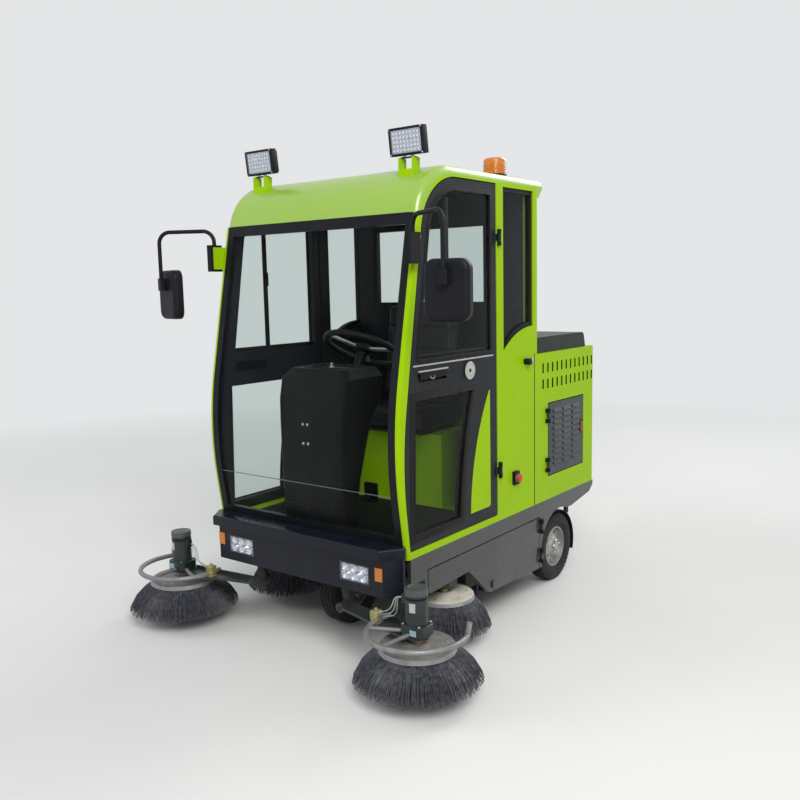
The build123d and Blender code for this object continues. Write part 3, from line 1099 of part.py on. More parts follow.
def build():
    """All nodes by name, each a list of solids."""
    side, floor = cab_side(), cab_floor()
    screen_frame, screen = windscreen()
    frame, pads = seat()
    beacon_foot, beacon_dome = beacon()
    middle = HALF_WIDTH - WALL / 2
    seals = both_sides(window_ring(quarter_pane(), quarter_pane(SEAL), middle - 12, middle + 12))
    panes = both_sides(slab_x(quarter_pane(SEAL), middle - GLASS / 2, middle + GLASS / 2))
    half, y0, y1 = REAR_PANE_HALF, REAR_WALL_Y + 2, REAR_WALL_BACK - 2
    pane_half, pane_y = half - SEAL, REAR_WALL_Y + 12
    pane_low, pane_high = REAR_PANE_LOW + SEAL, REAR_PANE_HIGH - SEAL
    hole = block(-pane_half, pane_half, y0 - 1, y1 + 1, pane_low, pane_high)
    seals.append(block(-half, half, y0, y1, REAR_PANE_LOW, REAR_PANE_HIGH) - hole)
    panes.append(block(-pane_half, pane_half, pane_y, pane_y + GLASS, pane_low, pane_high))
    housing = rear_housing()
    tail = both_sides(block(452, 512, BODY_REAR, BODY_REAR + 14, 540, 700))
    nodes = {
        "chassis_frame": [chassis()],
        "cab_sides": both_sides(side),
        "cab_rear_wall": [rear_wall()],
        "cab_roof": [rounded_roof()],
        "painted_brackets": both_sides(lamp_ears()) + both_sides(mirror_plate()),
        "cab_floor": [floor],
        "windscreen_frame": screen_frame,
        "windscreen_glass": screen,
        "window_seals": seals,
        "cab_glass": panes,
        "bumper": [bumper()],
        "head_lamps": lamp_set(LAMP_X, LAMP_W, LAMP_Z, LAMP_H, BUMPER_WALL + 20, 2),
        "signal_lamps": lamp_set(SIGNAL_X, SIGNAL_W, SIGNAL_Z, SIGNAL_H, BUMPER_WALL, 4) + [beacon_dome],
        "tail_lamps": tail,
        "side_skirts": both_sides(skirt()),
        "mudguards": mudguards(),
        "rear_housing": [housing],
        "battery_pack": [block(-330, 330, 1110, 1600, CAB_FLOOR_UNDER, 790)],
        "fittings": fittings() + rear_hinges() + [beacon_foot],
        "work_lamps": both_sides(work_lamp()),
        "mirror_arms": both_sides(mirror_arm()),
        "mirror_heads": both_sides(mirror_head()),
        "seat_frame": [frame],
        "seat_pads": pads,
        "dash_pedestal": [dash()],
        "brush_hood": [brush_hood()],
        "steering_wheel": [steering_wheel()],
        "front_fork": [front_fork()],
        "front_tyre": [tyre(0, FRONT_WHEEL_Y)],
        "front_rim": [rim(0, FRONT_WHEEL_Y, 1)],
        "main_roller": [roller()],
        "filter_lid": [filter_lid()],
        "rear_door": [rear_door()],
        "hopper": [hopper()],
    }
    for name, sign in (("left", 1), ("right", -1)):
        def place(shape):
            return shape if sign > 0 else mirror(shape, about=Plane.YZ)
        nodes[f"rear_tyre_{name}"] = [tyre(sign * REAR_WHEEL_X, REAR_WHEEL_Y)]
        nodes[f"rear_rim_{name}"] = [rim(sign * REAR_WHEEL_X, REAR_WHEEL_Y, sign)]
        nodes[f"door_frame_{name}"] = [place(door())]
        nodes[f"door_glass_{name}"] = [place(pane) for pane in door_panes()]
        nodes[f"door_blade_{name}"] = [place(door_blade())]
        nodes[f"brush_hoop_{name}"] = [place(guard(OUTER_BRUSH))]
        nodes[f"brush_flap_{name}"] = [place(brush_flap())]
        nodes[f"vent_door_{name}"] = [place(vent_door())]
        for kind, b, outer in (("outer", OUTER_BRUSH, True), ("inner", INNER_BRUSH, False)):
            nodes[f"{kind}_arm_{name}"] = [place(brush_arm(b, outer))]
            nodes[f"{kind}_brush_{name}"] = [place(Pos(b["x"], b["y"], 0) * side_brush(b))]
    return nodes


def solids_of(shapes):
    """Every solid in a list of shapes."""
    return [solid for shape in shapes for solid in shape.solids()]


os.makedirs("parts", exist_ok=True)
for node, shapes in build().items():
    found = [Pos(0, -MIDDLE_Y, 0) * solid for solid in solids_of(shapes)]
    export_step(Compound(found) if len(found) > 1 else found[0], f"parts/{node}.step")
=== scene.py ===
"""Look of the compact road sweeper: finishes, bristle, tyres, lamps, seat and small parts."""
import json
import math
import random

import bpy
import bmesh
from mathutils import Matrix, Vector


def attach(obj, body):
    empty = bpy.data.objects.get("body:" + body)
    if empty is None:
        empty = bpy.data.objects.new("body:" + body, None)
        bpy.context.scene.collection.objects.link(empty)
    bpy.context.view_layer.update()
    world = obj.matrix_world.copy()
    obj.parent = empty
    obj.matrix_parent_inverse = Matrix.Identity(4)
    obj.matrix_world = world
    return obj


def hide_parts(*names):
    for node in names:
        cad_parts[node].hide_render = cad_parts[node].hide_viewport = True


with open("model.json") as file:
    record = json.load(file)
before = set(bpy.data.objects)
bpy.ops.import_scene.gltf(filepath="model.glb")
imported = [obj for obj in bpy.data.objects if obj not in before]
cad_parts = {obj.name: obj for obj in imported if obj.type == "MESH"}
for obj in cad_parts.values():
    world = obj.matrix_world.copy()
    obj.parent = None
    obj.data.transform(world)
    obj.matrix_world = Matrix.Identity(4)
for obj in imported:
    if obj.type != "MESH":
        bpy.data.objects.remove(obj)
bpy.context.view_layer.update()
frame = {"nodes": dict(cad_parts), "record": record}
nodes = frame["nodes"]

SIDES = {"left": 1, "right": -1}

# Finishes


def shader(name):
    """A new material with its node tree and shader."""
    material = bpy.data.materials.new(name)
    material.use_nodes = True
    tree = material.node_tree
    return material, tree, tree.nodes["Principled BSDF"]


def add(tree, kind, **sockets):
    """A node of that kind with these input values."""
    node = tree.nodes.new(kind)
    for key, value in sockets.items():
        node.inputs[key.replace("_", " ")].default_value = value
    return node


def object_noise(tree, scale, detail):
    """Noise in the piece's own metres."""
    place = tree.nodes.new("ShaderNodeTexCoord")
    noise = add(tree, "ShaderNodeTexNoise", Scale=scale, Detail=detail)
    tree.links.new(place.outputs["Object"], noise.inputs["Vector"])
    return noise.outputs["Fac"]


def spread(tree, value, low, high, start=0.3, end=0.7):
    """value between start and end becomes low to high."""
    node = add(tree, "ShaderNodeMapRange", From_Min=start, From_Max=end, To_Min=low, To_Max=high)
    tree.links.new(value, node.inputs["Value"])
    return node.outputs["Result"]


def tint(tree, share, first, second):
    """Colour between first and second; each is a colour or a socket, share a socket."""
    mix = tree.nodes.new("ShaderNodeMix")
    mix.data_type = "RGBA"
    tree.links.new(share, mix.inputs["Factor"])
    for slot_name, value in (("A", first), ("B", second)):
        socket = [s for s in mix.inputs if s.name == slot_name and s.type == "RGBA"][0]
        if isinstance(value, bpy.types.NodeSocket):
            tree.links.new(value, socket)
        else:
            socket.default_value = (*value, 1)
    return [s for s in mix.outputs if s.type == "RGBA"][0]


def product(tree, first, second):
    """first times second."""
    node = tree.nodes.new("ShaderNodeMath")
    node.operation = "MULTIPLY"
    tree.links.new(first, node.inputs[0])
    tree.links.new(second, node.inputs[1])
    return node.outputs[0]


def height_share(tree, low, high):
    """1 below low, falling to 0 at high, by height over the ground."""
    place = tree.nodes.new("ShaderNodeTexCoord")
    split = tree.nodes.new("ShaderNodeSeparateXYZ")
    tree.links.new(place.outputs["Object"], split.inputs[0])
    return spread(tree, split.outputs["Z"], 1, 0, low, high)


def relief(tree, height, strength, distance):
    """Bump from height."""
    bump = add(tree, "ShaderNodeBump", Strength=strength, Distance=distance)
    tree.links.new(height, bump.inputs["Height"])
    return bump.outputs["Normal"]


def surface(name, colour, other, patch=3.0, rough=(0.4, 0.5), metal=0.0, grain=(400.0, 0.05, 0.0004),
            coat=0.0, dust=None, specular=0.5):
    """A finish that wanders between two colours in patches, with its grain as bump and, low down, dust."""
    material, tree, bsdf = shader(name)
    patches = object_noise(tree, patch, 6)
    shade = tint(tree, spread(tree, patches, 0, 1, 0.35, 0.65), colour, other)
    fine = object_noise(tree, grain[0], 2)
    rough_value = spread(tree, object_noise(tree, patch * 7, 5), *rough)
    if dust:
        dust_colour, low, high, amount = dust
        cloud = spread(tree, object_noise(tree, 9, 8), 0.25 * amount, amount, 0.35, 0.7)
        shade = tint(tree, product(tree, height_share(tree, low, high), cloud), shade, dust_colour)
    tree.links.new(shade, bsdf.inputs["Base Color"])
    tree.links.new(rough_value, bsdf.inputs["Roughness"])
    tree.links.new(relief(tree, fine, grain[1], grain[2]), bsdf.inputs["Normal"])
    bsdf.inputs["Metallic"].default_value = metal
    bsdf.inputs["Coat Weight"].default_value = coat
    bsdf.inputs["Coat Roughness"].default_value = 0.06
    bsdf.inputs["Specular IOR Level"].default_value = specular
    return material


def glass(name, colour, shine, foot=0.05):
    """Clear sheet: light passes tinted, and the face mirrors more at a slant."""
    material, tree, bsdf = shader(name)
    tree.nodes.remove(bsdf)
    clear = add(tree, "ShaderNodeBsdfTransparent", Color=(*colour, 1))
    gloss = add(tree, "ShaderNodeBsdfGlossy", Color=(1, 1, 1, 1), Roughness=0.02)
    slant = add(tree, "ShaderNodeLayerWeight", Blend=0.5)
    steep = tree.nodes.new("ShaderNodeMath")
    steep.operation = "POWER"
    steep.inputs[1].default_value = 4.0
    tree.links.new(slant.outputs["Facing"], steep.inputs[0])
    share = spread(tree, steep.outputs[0], foot, shine, 0, 1)
    mix = tree.nodes.new("ShaderNodeMixShader")
    tree.links.new(share, mix.inputs[0])
    tree.links.new(clear.outputs[0], mix.inputs[1])
    tree.links.new(gloss.outputs[0], mix.inputs[2])
    tree.links.new(mix.outputs[0], tree.nodes["Material Output"].inputs["Surface"])
    return material


LENS_ROUGH = 0.08
LENS_RIBS = 60.0
LENS_RELIEF = 0.35


def lens(name, colour):
    """Moulded lamp lens: coloured clear plastic with fine ribs."""
    material, tree, bsdf = shader(name)
    bsdf.inputs["Base Color"].default_value = (*colour, 1)
    bsdf.inputs["Roughness"].default_value = LENS_ROUGH
    bsdf.inputs["Transmission Weight"].default_value = 0.35
    bsdf.inputs["Coat Weight"].default_value = 0.6
    place = tree.nodes.new("ShaderNodeTexCoord")
    wave = add(tree, "ShaderNodeTexWave", Scale=LENS_RIBS)
    wave.bands_direction = "Z"
    tree.links.new(place.outputs["Object"], wave.inputs["Vector"])
    tree.links.new(relief(tree, wave.outputs["Fac"], LENS_RELIEF, 0.001), bsdf.inputs["Normal"])
    return material


ROAD_DUST = (0.20, 0.175, 0.145)
green = surface("lime_paint", (0.312, 0.540, 0.002), (0.298, 0.512, 0.002), 2.0, (0.26, 0.36),
                grain=(900, 0.03, 0.0003),
                dust=((0.30, 0.38, 0.03), 0.3, 0.8, 0.10), specular=0.08)
black_frame = surface("satin_black_paint", (0.0045, 0.0055, 0.0085), (0.0075, 0.0085, 0.012), 4, (0.3, 0.44),
                      grain=(700, 0.08, 0.0003),
                      dust=(ROAD_DUST, 0.2, 0.7, 0.06), specular=0.16)
door_grey = surface("door_graphite", (0.0105, 0.0130, 0.0165), (0.0150, 0.0180, 0.0220), 5, (0.34, 0.46),
                    grain=(700, 0.08, 0.0003),
                    dust=(ROAD_DUST, 0.3, 0.9, 0.05), specular=0.16)
bumper_paint = surface("graphite_paint", (0.0035, 0.0050, 0.0115), (0.0050, 0.0070, 0.0150), 5, (0.27, 0.29),
                       grain=(900, 0.02, 0.0001),
                       dust=(ROAD_DUST, 0.3, 0.6, 0.03), specular=0.26)
moulded = surface("moulded_black_plastic", (0.0055, 0.006, 0.0085), (0.0085, 0.009, 0.012), 6, (0.46, 0.52),
                  grain=(1500, 0.22, 0.0003),
                  specular=0.16)
skirt_grey = surface("anthracite_paint", (0.024, 0.0255, 0.027), (0.036, 0.038, 0.039), 4, (0.26, 0.29),
                     grain=(900, 0.02, 0.0001),
                     coat=0.3, dust=(ROAD_DUST, 0.1, 0.5, 0.09), specular=0.5)
lid_grey = surface("lid_paint", (0.013, 0.019, 0.015), (0.018, 0.025, 0.020), 4, (0.34, 0.5),
                   grain=(700, 0.10, 0.0003), specular=0.2)
vent_grey = surface("vent_door_paint", (0.026, 0.036, 0.040), (0.036, 0.047, 0.050), 5, (0.32, 0.46),
                    grain=(700, 0.10, 0.0003),
                    dust=(ROAD_DUST, 0.3, 0.9, 0.12), specular=0.4)
chassis_black = surface("chassis_paint", (0.010, 0.011, 0.012), (0.016, 0.016, 0.016), 6, (0.45, 0.6),
                        grain=(500, 0.15, 0.0004),
                        dust=(ROAD_DUST, 0.1, 0.45, 0.25), specular=0.3)
rubber = surface("seal_rubber", (0.0035, 0.0035, 0.004), (0.006, 0.006, 0.0065), 9, (0.5, 0.66),
                 grain=(900, 0.2, 0.0004), specular=0.25)
clear_glass = glass("clear_sheet_glass", (0.94, 0.965, 0.955), 0.30, 0.0)
tinted_glass = glass("tinted_sheet_glass", (0.86, 0.895, 0.885), 0.30, 0.0)
bristle = surface("black_bristle", (0.022, 0.024, 0.032), (0.082, 0.086, 0.104), 60, (0.42, 0.62),
                  grain=(300, 0.4, 0.001),
                  dust=((0.17, 0.155, 0.14), 0.02, 0.12, 0.25), specular=0.4)
tyre_rubber = surface("tyre_rubber", (0.008, 0.009, 0.011), (0.015, 0.015, 0.016), 12, (0.6, 0.85),
                      grain=(500, 0.35, 0.0006),
                      dust=((0.17, 0.14, 0.115), 0.0, 0.4, 0.14), specular=0.3)
wheel_silver = surface("silver_wheel_paint", (0.40, 0.40, 0.40), (0.33, 0.32, 0.31), 18, (0.3, 0.5), 0.6,
                       grain=(700, 0.15, 0.0004),
                       dust=(ROAD_DUST, 0.0, 0.6, 0.4))
bright_steel = surface("bright_steel", (0.60, 0.60, 0.59), (0.48, 0.47, 0.45), 20, (0.22, 0.4), 1.0,
                       grain=(900, 0.12, 0.0003),
                       dust=(ROAD_DUST, 0.0, 0.4, 0.2))
hoop_grey = surface("galvanised_hoop", (0.27, 0.275, 0.28), (0.20, 0.205, 0.21), 26, (0.38, 0.55), 0.45,
                    grain=(800, 0.2, 0.0004),
                    dust=(ROAD_DUST, 0.1, 0.4, 0.2))
motor_green = surface("motor_dark_green", (0.016, 0.025, 0.027), (0.011, 0.018, 0.020), 14, (0.32, 0.46),
                      grain=(800, 0.12, 0.0004),
                      dust=(ROAD_DUST, 0.2, 0.5, 0.12), specular=0.45)
vinyl = surface("seat_vinyl", (0.0075, 0.0075, 0.009), (0.013, 0.013, 0.0145), 10, (0.50, 0.53),
                grain=(700, 0.08, 0.0002), specular=0.25)
dash_black = surface("dash_plastic", (0.0060, 0.0060, 0.0070), (0.0095, 0.0095, 0.0105), 8, (0.47, 0.49),
                     grain=(900, 0.02, 0.00005), specular=0.14)
clear_lens = lens("clear_lamp_lens", (0.80, 0.82, 0.86))
amber_lens = lens("amber_lens", (0.80, 0.235, 0.006))
red_lens = lens("red_lens", (0.42, 0.008, 0.008))
pale_metal = surface("pale_trim_metal", (0.55, 0.56, 0.57), (0.46, 0.47, 0.48), 30, (0.28, 0.42), 0.6,
                     grain=(900, 0.1, 0.0002))
stop_red = surface("stop_button_red", (0.62, 0.030, 0.014), (0.54, 0.024, 0.012), 30, (0.3, 0.42),
                   grain=(900, 0.08, 0.0002))
off_white = surface("badge_enamel", (0.46, 0.48, 0.42), (0.40, 0.42, 0.37), 40, (0.35, 0.5), 0.2,
                    grain=(900, 0.1, 0.0002))


def test(tree, value, kind, limit):
    """1 where value is above or below limit."""
    node = tree.nodes.new("ShaderNodeMath")
    node.operation = kind
    tree.links.new(value, node.inputs[0])
    node.inputs[1].default_value = limit
    return node.outputs[0]


def size_of(tree, value):
    """value without its sign."""
    node = tree.nodes.new("ShaderNodeMath")
    node.operation = "ABSOLUTE"
    tree.links.new(value, node.inputs[0])
    return node.outputs[0]


def within(tree, axis_limits, facing=None):
    """1 inside these limits of |x|, y and z, on faces that look at the point facing if it is given."""
    place = tree.nodes.new("ShaderNodeTexCoord")
    split = tree.nodes.new("ShaderNodeSeparateXYZ")
    tree.links.new(place.outputs["Object"], split.inputs[0])
    values = {"x": size_of(tree, split.outputs["X"]), "y": split.outputs["Y"], "z": split.outputs["Z"]}
    shares = [test(tree, values[axis], kind, limit) for axis, kind, limit in axis_limits]
    if facing:
        away = tree.nodes.new("ShaderNodeVectorMath")
        away.operation = "SUBTRACT"
        tree.links.new(place.outputs["Object"], away.inputs[0])
        away.inputs[1].default_value = facing
        dot = tree.nodes.new("ShaderNodeVectorMath")
        dot.operation = "DOT_PRODUCT"
        tree.links.new(away.outputs["Vector"], dot.inputs[0])
        tree.links.new(place.outputs["Normal"], dot.inputs[1])
        shares.append(test(tree, dot.outputs["Value"], "LESS_THAN", 0))
    total = shares[0]
    for share in shares[1:]:
        total = product(tree, total, share)
    return total


def recoloured(material, name, colour, axis_limits, facing=None):
    """A copy of the finish with another colour within these limits."""
    other = material.copy()
    other.name = name
    tree = other.node_tree
    base = tree.nodes["Principled BSDF"].inputs["Base Color"]
    shade = tint(tree, within(tree, axis_limits, facing), base.links[0].from_socket, colour)
    tree.links.new(shade, base)
    return other


# Painted sheen: the roof's base colour is paler and bluer than the side paint, standing in for the sky's
# reflection on the roof.
roof_painted_sheen = surface("lime_paint_roof_painted_sheen", (0.272, 0.450, 0.050), (0.256, 0.425, 0.048), 2.0, (0.30, 0.40),
                     grain=(900, 0.03, 0.0003),
                     coat=0.5, specular=0.5)
# Painted shade: faces inside the cab and under the roof that look towards the cab's middle take this dark
# grey, as they lie in shade.
PAINTED_INSIDE_SHADE = (0.016, 0.018, 0.021)
cab_paint = recoloured(green, "lime_paint_cab_painted_inside_shade", PAINTED_INSIDE_SHADE,
                       (("x", "LESS_THAN", 0.546), ("y", "LESS_THAN", 0.362), ("z", "LESS_THAN", 1.995),
                        ("z", "GREATER_THAN", 0.503)),
                       (0, -0.15, 1.30))
roof_paint = recoloured(roof_painted_sheen, "lime_paint_roof_painted_sheen_and_inside_shade", PAINTED_INSIDE_SHADE,
                        (("x", "LESS_THAN", 0.512), ("y", "LESS_THAN", 0.362), ("z", "LESS_THAN", 1.995)),
                        (0, -0.15, 1.30))
# Painted shade: faces inside the rear housing that look into its hollow are painted near black, where shade
# falls inside.
housing_paint = recoloured(green, "lime_paint_housing_painted_inside_shade", (0.006, 0.007, 0.006),
                           (("x", "LESS_THAN", 0.5485), ("z", "LESS_THAN", 1.195)),
                           (0, 0.71, 0.85))
# Painted shade: the walls of the slots in the housing's sides are painted black, where shade falls in the
# slots.
housing_paint = recoloured(housing_paint, "lime_paint_housing_painted_slot_shade", (0.003, 0.003, 0.003),
                           (("x", "LESS_THAN", 0.5482), ("x", "GREATER_THAN", 0.5),
                            ("y", "GREATER_THAN", 0.440), ("y", "LESS_THAN", 1.030),
                            ("z", "GREATER_THAN", 1.020), ("z", "LESS_THAN", 1.165)))
# Painted shade: the door's handle pocket is painted near black, where shade falls in the recess.
door_paint = recoloured(door_grey, "door_graphite_pocket", (0.0025, 0.0028, 0.0035),
                        (("y", "GREATER_THAN", -0.5725), ("y", "LESS_THAN", -0.3745),
                         ("z", "GREATER_THAN", 1.1650), ("z", "LESS_THAN", 1.2090)))

rear_paint = recoloured(green, "lime_paint_dark_pull", (0.006, 0.0065, 0.007),
                        (("y", "GREATER_THAN", 1.0440), ("z", "GREATER_THAN", 0.5)))

FINISHES = {"green_paint": green, "grey_paint": skirt_grey, "frame_black": black_frame,
            "black_plastic": moulded, "seal_rubber": rubber,
            "clear_glass": clear_glass, "tinted_glass": tinted_glass, "lamp_clear": clear_lens,
            "amber": amber_lens, "red_lens": red_lens,
            "bristle": bristle, "tyre": tyre_rubber, "wheel_steel": wheel_silver, "bare_steel": bright_steel,
            "motor_paint": motor_green,
            "seat_vinyl": vinyl, "dash_plastic": dash_black}


def paint(obj, *materials):
    """obj takes these materials in place of its own."""
    obj.data.materials.clear()
    for material in materials:
        obj.data.materials.append(material)


OWN_FINISH = {"bumper": bumper_paint, "cab_sides": cab_paint, "cab_rear_wall": cab_paint,
              "cab_roof": roof_paint, "rear_housing": housing_paint,
              "rear_door": rear_paint, "filter_lid": lid_grey, "door_frame_left": door_paint,
              "door_frame_right": door_paint, "vent_door_left": vent_grey,
              "vent_door_right": vent_grey, "brush_hoop_left": hoop_grey, "brush_hoop_right": hoop_grey,
              "chassis_frame": chassis_black,
              "front_fork": chassis_black, "brush_hood": chassis_black}

for part in frame["record"]["subparts"]:
    paint(nodes[part["node"]], OWN_FINISH.get(part["node"], FINISHES[part["material_slot"]]))

# Ways of making

MIDDLE = 0.6495


def at(station):
    """The frame's Y, in metres, of a station along the machine in millimetres."""
    return station / 1000 - MIDDLE


def moved(x, y, z):
    """The matrix that moves a mesh by this much."""
    return Matrix.Translation((x, y, z))


def turned(degrees, axis):
    """The matrix that turns a mesh about that axis."""
    return Matrix.Rotation(math.radians(degrees), 4, axis)


def alone(obj):
    """Only obj is selected, and active."""
    bpy.ops.object.select_all(action="DESELECT")
    obj.select_set(True)
    bpy.context.view_layer.objects.active = obj


def settle(obj):
    """Puts obj's place, turn and scale into its mesh."""
    alone(obj)
    bpy.ops.object.transform_apply(location=True, rotation=True, scale=True)
    return obj


def modify(obj, kind, **settings):
    """Gives obj a modifier with these settings and applies it."""
    alone(obj)
    modifier = obj.modifiers.new(kind.lower(), kind)
    for key, value in settings.items():
        setattr(modifier, key, value)
    bpy.ops.object.modifier_apply(modifier=modifier.name)
    return obj


def smooth(obj, degrees=35):
    """Shades obj smooth except over sharper edges."""
    alone(obj)
    bpy.ops.object.shade_smooth_by_angle(angle=math.radians(degrees))
    return obj


def choose(obj, wanted):
    """Edit mode with only the faces selected whose centre and normal satisfy wanted."""
    alone(obj)
    bpy.ops.object.mode_set(mode="EDIT")
    bpy.ops.mesh.select_mode(type="FACE")
    mesh = bmesh.from_edit_mesh(obj.data)
    for face in mesh.faces:
        face.select_set(bool(wanted(face.calc_center_median(), face.normal)))
    bmesh.update_edit_mesh(obj.data)


def leave():
    """Back to object mode."""
    bpy.ops.object.mode_set(mode="OBJECT")


def outward(obj):
    """Faces point outwards."""
    choose(obj, lambda centre, normal: True)
    bpy.ops.mesh.normals_make_consistent(inside=False)
    leave()
    return obj


def named(name):
    """The object just added, under its name."""
    bpy.context.object.name = name
    return bpy.context.object


def block(name, low, high, bevel=0.002, segments=2):
    """Box between two corners with rounded edges."""
    bpy.ops.object.select_all(action="DESELECT")
    bpy.ops.mesh.primitive_cube_add(size=1, location=[(a + b) / 2 for a, b in zip(low, high)])
    obj = named(name)
    obj.scale = [abs(b - a) for a, b in zip(low, high)]
    settle(obj)
    if bevel:
        modify(obj, "BEVEL", width=bevel, segments=segments, limit_method="ANGLE")
        smooth(obj, 40)
    return obj


def lathe(name, steps, foot=(0, 0, 0), direction=(0, 0, 1), sides=40, bored=False, angle=35):
    """Turned piece; steps are radius and height from its foot along direction; bored leaves both ends open."""
    bpy.ops.object.select_all(action="DESELECT")
    bpy.ops.mesh.primitive_circle_add(vertices=sides, radius=steps[0][0], fill_type="NGON",
                                      location=(0, 0, steps[0][1]))
    obj = settle(named(name))
    choose(obj, lambda centre, normal: True)
    for (radius, height), (next_radius, next_height) in zip(steps, steps[1:]):
        bpy.ops.mesh.extrude_region_move(TRANSFORM_OT_translate={"value": (0, 0, next_height - height)})
        share = next_radius / radius
        bpy.ops.transform.resize(value=(share, share, 1), center_override=(0, 0, next_height))
    leave()
    if bored:
        choose(obj, lambda centre, normal: False)
        mesh = bmesh.from_edit_mesh(obj.data)
        for face in mesh.faces:
            face.select_set(len(face.verts) == sides and sides > 4)
        bmesh.update_edit_mesh(obj.data)
        bpy.ops.mesh.bridge_edge_loops()
        leave()
    outward(obj)
    smooth(obj, angle)
    turn = Vector((0, 0, 1)).rotation_difference(Vector(direction)).to_matrix().to_4x4()
    obj.data.transform(Matrix.Translation(foot) @ turn)
    return obj


def tray(name, low, high, axis, sign, rim, depth, bevel=0.0015):
    """Box whose face towards sign on that axis is sunk by depth inside a rim."""
    obj = block(name, low, high, 0)
    choose(obj, lambda centre, normal: normal[axis] * sign > 0.9)
    bpy.ops.mesh.inset(thickness=rim, depth=0)
    push = [0, 0, 0]
    push[axis] = -sign * depth
    bpy.ops.mesh.extrude_region_move(TRANSFORM_OT_translate={"value": push})
    leave()
    modify(obj, "BEVEL", width=bevel, segments=2, limit_method="ANGLE")
    return smooth(obj, 40)


def rounded_plate(name, low, high, axis, radius, segments=8, edge=0.0006):
    """Plate whose four corners along that axis are rounded by radius, with a fine edge."""
    obj = block(name, low, high, 0)
    alone(obj)
    bpy.ops.object.mode_set(mode="EDIT")
    bpy.ops.mesh.select_mode(type="EDGE")
    mesh = bmesh.from_edit_mesh(obj.data)
    for line in mesh.edges:
        along = (line.verts[1].co - line.verts[0].co).normalized()
        line.select_set(abs(along[axis]) > 0.9)
    bmesh.update_edit_mesh(obj.data)
    bpy.ops.mesh.bevel(offset=radius, segments=segments)
    leave()
    if edge:
        modify(obj, "BEVEL", width=edge, segments=1, limit_method="ANGLE", angle_limit=math.radians(50))
    return smooth(obj, 35)


def joined(name, pieces):
    """These pieces as one mesh."""
    bpy.ops.object.select_all(action="DESELECT")
    for piece in pieces:
        piece.select_set(True)
    bpy.context.view_layer.objects.active = pieces[0]
    if len(pieces) > 1:
        bpy.ops.object.join()
    pieces[0].name = name
    return pieces[0]


def twin(obj, name, place):
    """A copy of obj with its own mesh, moved by that matrix."""
    other = obj.copy()
    other.data = obj.data.copy()
    other.name = name
    bpy.context.scene.collection.objects.link(other)
    other.data.transform(place)
    if place.determinant() < 0:
        other.data.flip_normals()
    return other


def copies(obj, places, name):
    """One mesh with obj at each of these places; obj itself is used up."""
    gathered = bmesh.new()
    for place in places:
        mesh = obj.data.copy()
        mesh.transform(place)
        gathered.from_mesh(mesh)
        bpy.data.meshes.remove(mesh)
    gathered.to_mesh(obj.data)
    gathered.free()
    obj.name = name
    return obj


MIRROR = Matrix.Scale(-1, 4, (1, 0, 0))


def tube(name, points, radius, sides=3):
    """Round tube or cable along a smooth line through these points."""
    curve = bpy.data.curves.new(name, "CURVE")
    curve.dimensions = "3D"
    spline = curve.splines.new("NURBS")
    spline.points.add(len(points) - 1)
    for control, place in zip(spline.points, points):
        control.co = (*place, 1)
    spline.order_u = 3
    spline.use_endpoint_u = True
    spline.resolution_u = 6
    curve.bevel_depth = radius
    curve.bevel_resolution = sides
    curve.use_fill_caps = True
    obj = bpy.data.objects.new(name, curve)
    bpy.context.scene.collection.objects.link(obj)
    alone(obj)
    bpy.ops.object.convert(target="MESH")
    obj = bpy.context.object
    choose(obj, lambda centre, normal: True)
    bpy.ops.mesh.remove_doubles(threshold=0.00001)
    leave()
    return smooth(outward(obj), 40)


def colour_faces(obj, index, wanted):
    """Faces whose centre and normal satisfy wanted take obj's material of that index."""
    for face in obj.data.polygons:
        if wanted(face.center, face.normal):
            face.material_index = index


def fit(obj, body, cad_slot, *replaced):
    """obj rides on that body and stands for these nodes; cad_slot is not used."""
    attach(obj, body)
    if replaced:
        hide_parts(*replaced)
    return obj


def fit_pair(obj, body, cad_slot, *replaced):
    """obj is the left piece, its mirror image the right; body and replaced hold SIDE for left or right."""
    stem = obj.name
    other = twin(obj, stem + "_right", MIRROR)
    obj.name = stem + "_left"
    for side, piece in (("left", obj), ("right", other)):
        fit(piece, body.replace("SIDE", side), cad_slot, *[node.replace("SIDE", side) for node in replaced])
    return obj, other


# Side brushes

BRUSHES = {
    "outer": dict(x=0.690, y=at(-155), tip=0.257, disc=0.146, end=0.060, top=0.200, count=330, spindle=0.253,
                  seed=11),
    "inner": dict(x=0.470, y=at(345), tip=0.211, disc=0.130, end=0.056, top=0.204, count=270, spindle=0.257,
                  seed=23),
}
SEAT_DROP = 0.022
STRAND_R = 0.0017
STRAND_TAPER = 0.9
BRUSH_TURN = 0.4
LAYERS = 4
BOW = (0.0, 0.40, 0.75, 1.0)
FALL = (0.0, 0.24, 0.58, 1.0)


def strand(root, tip, root_z, tip_z):
    """One thick bristle in the XZ plane, bowing outwards from its root to its tip."""
    bpy.ops.object.select_all(action="DESELECT")
    bpy.ops.mesh.primitive_circle_add(vertices=4, radius=STRAND_R, fill_type="NGON",
                                      location=(root, 0, root_z))
    obj = settle(named("strand"))
    choose(obj, lambda centre, normal: True)
    for n in range(len(BOW) - 1):
        run = (tip - root) * (BOW[n + 1] - BOW[n])
        drop = (tip_z - root_z) * (FALL[n + 1] - FALL[n])
        bpy.ops.mesh.extrude_region_move(TRANSFORM_OT_translate={"value": (run, 0, drop)})
        bpy.ops.transform.resize(value=(STRAND_TAPER, STRAND_TAPER, 1),
                                 center_override=(root + (tip - root) * BOW[n + 1], 0,
                                                  root_z + (tip_z - root_z) * FALL[n + 1]))
    leave()
    return outward(obj)


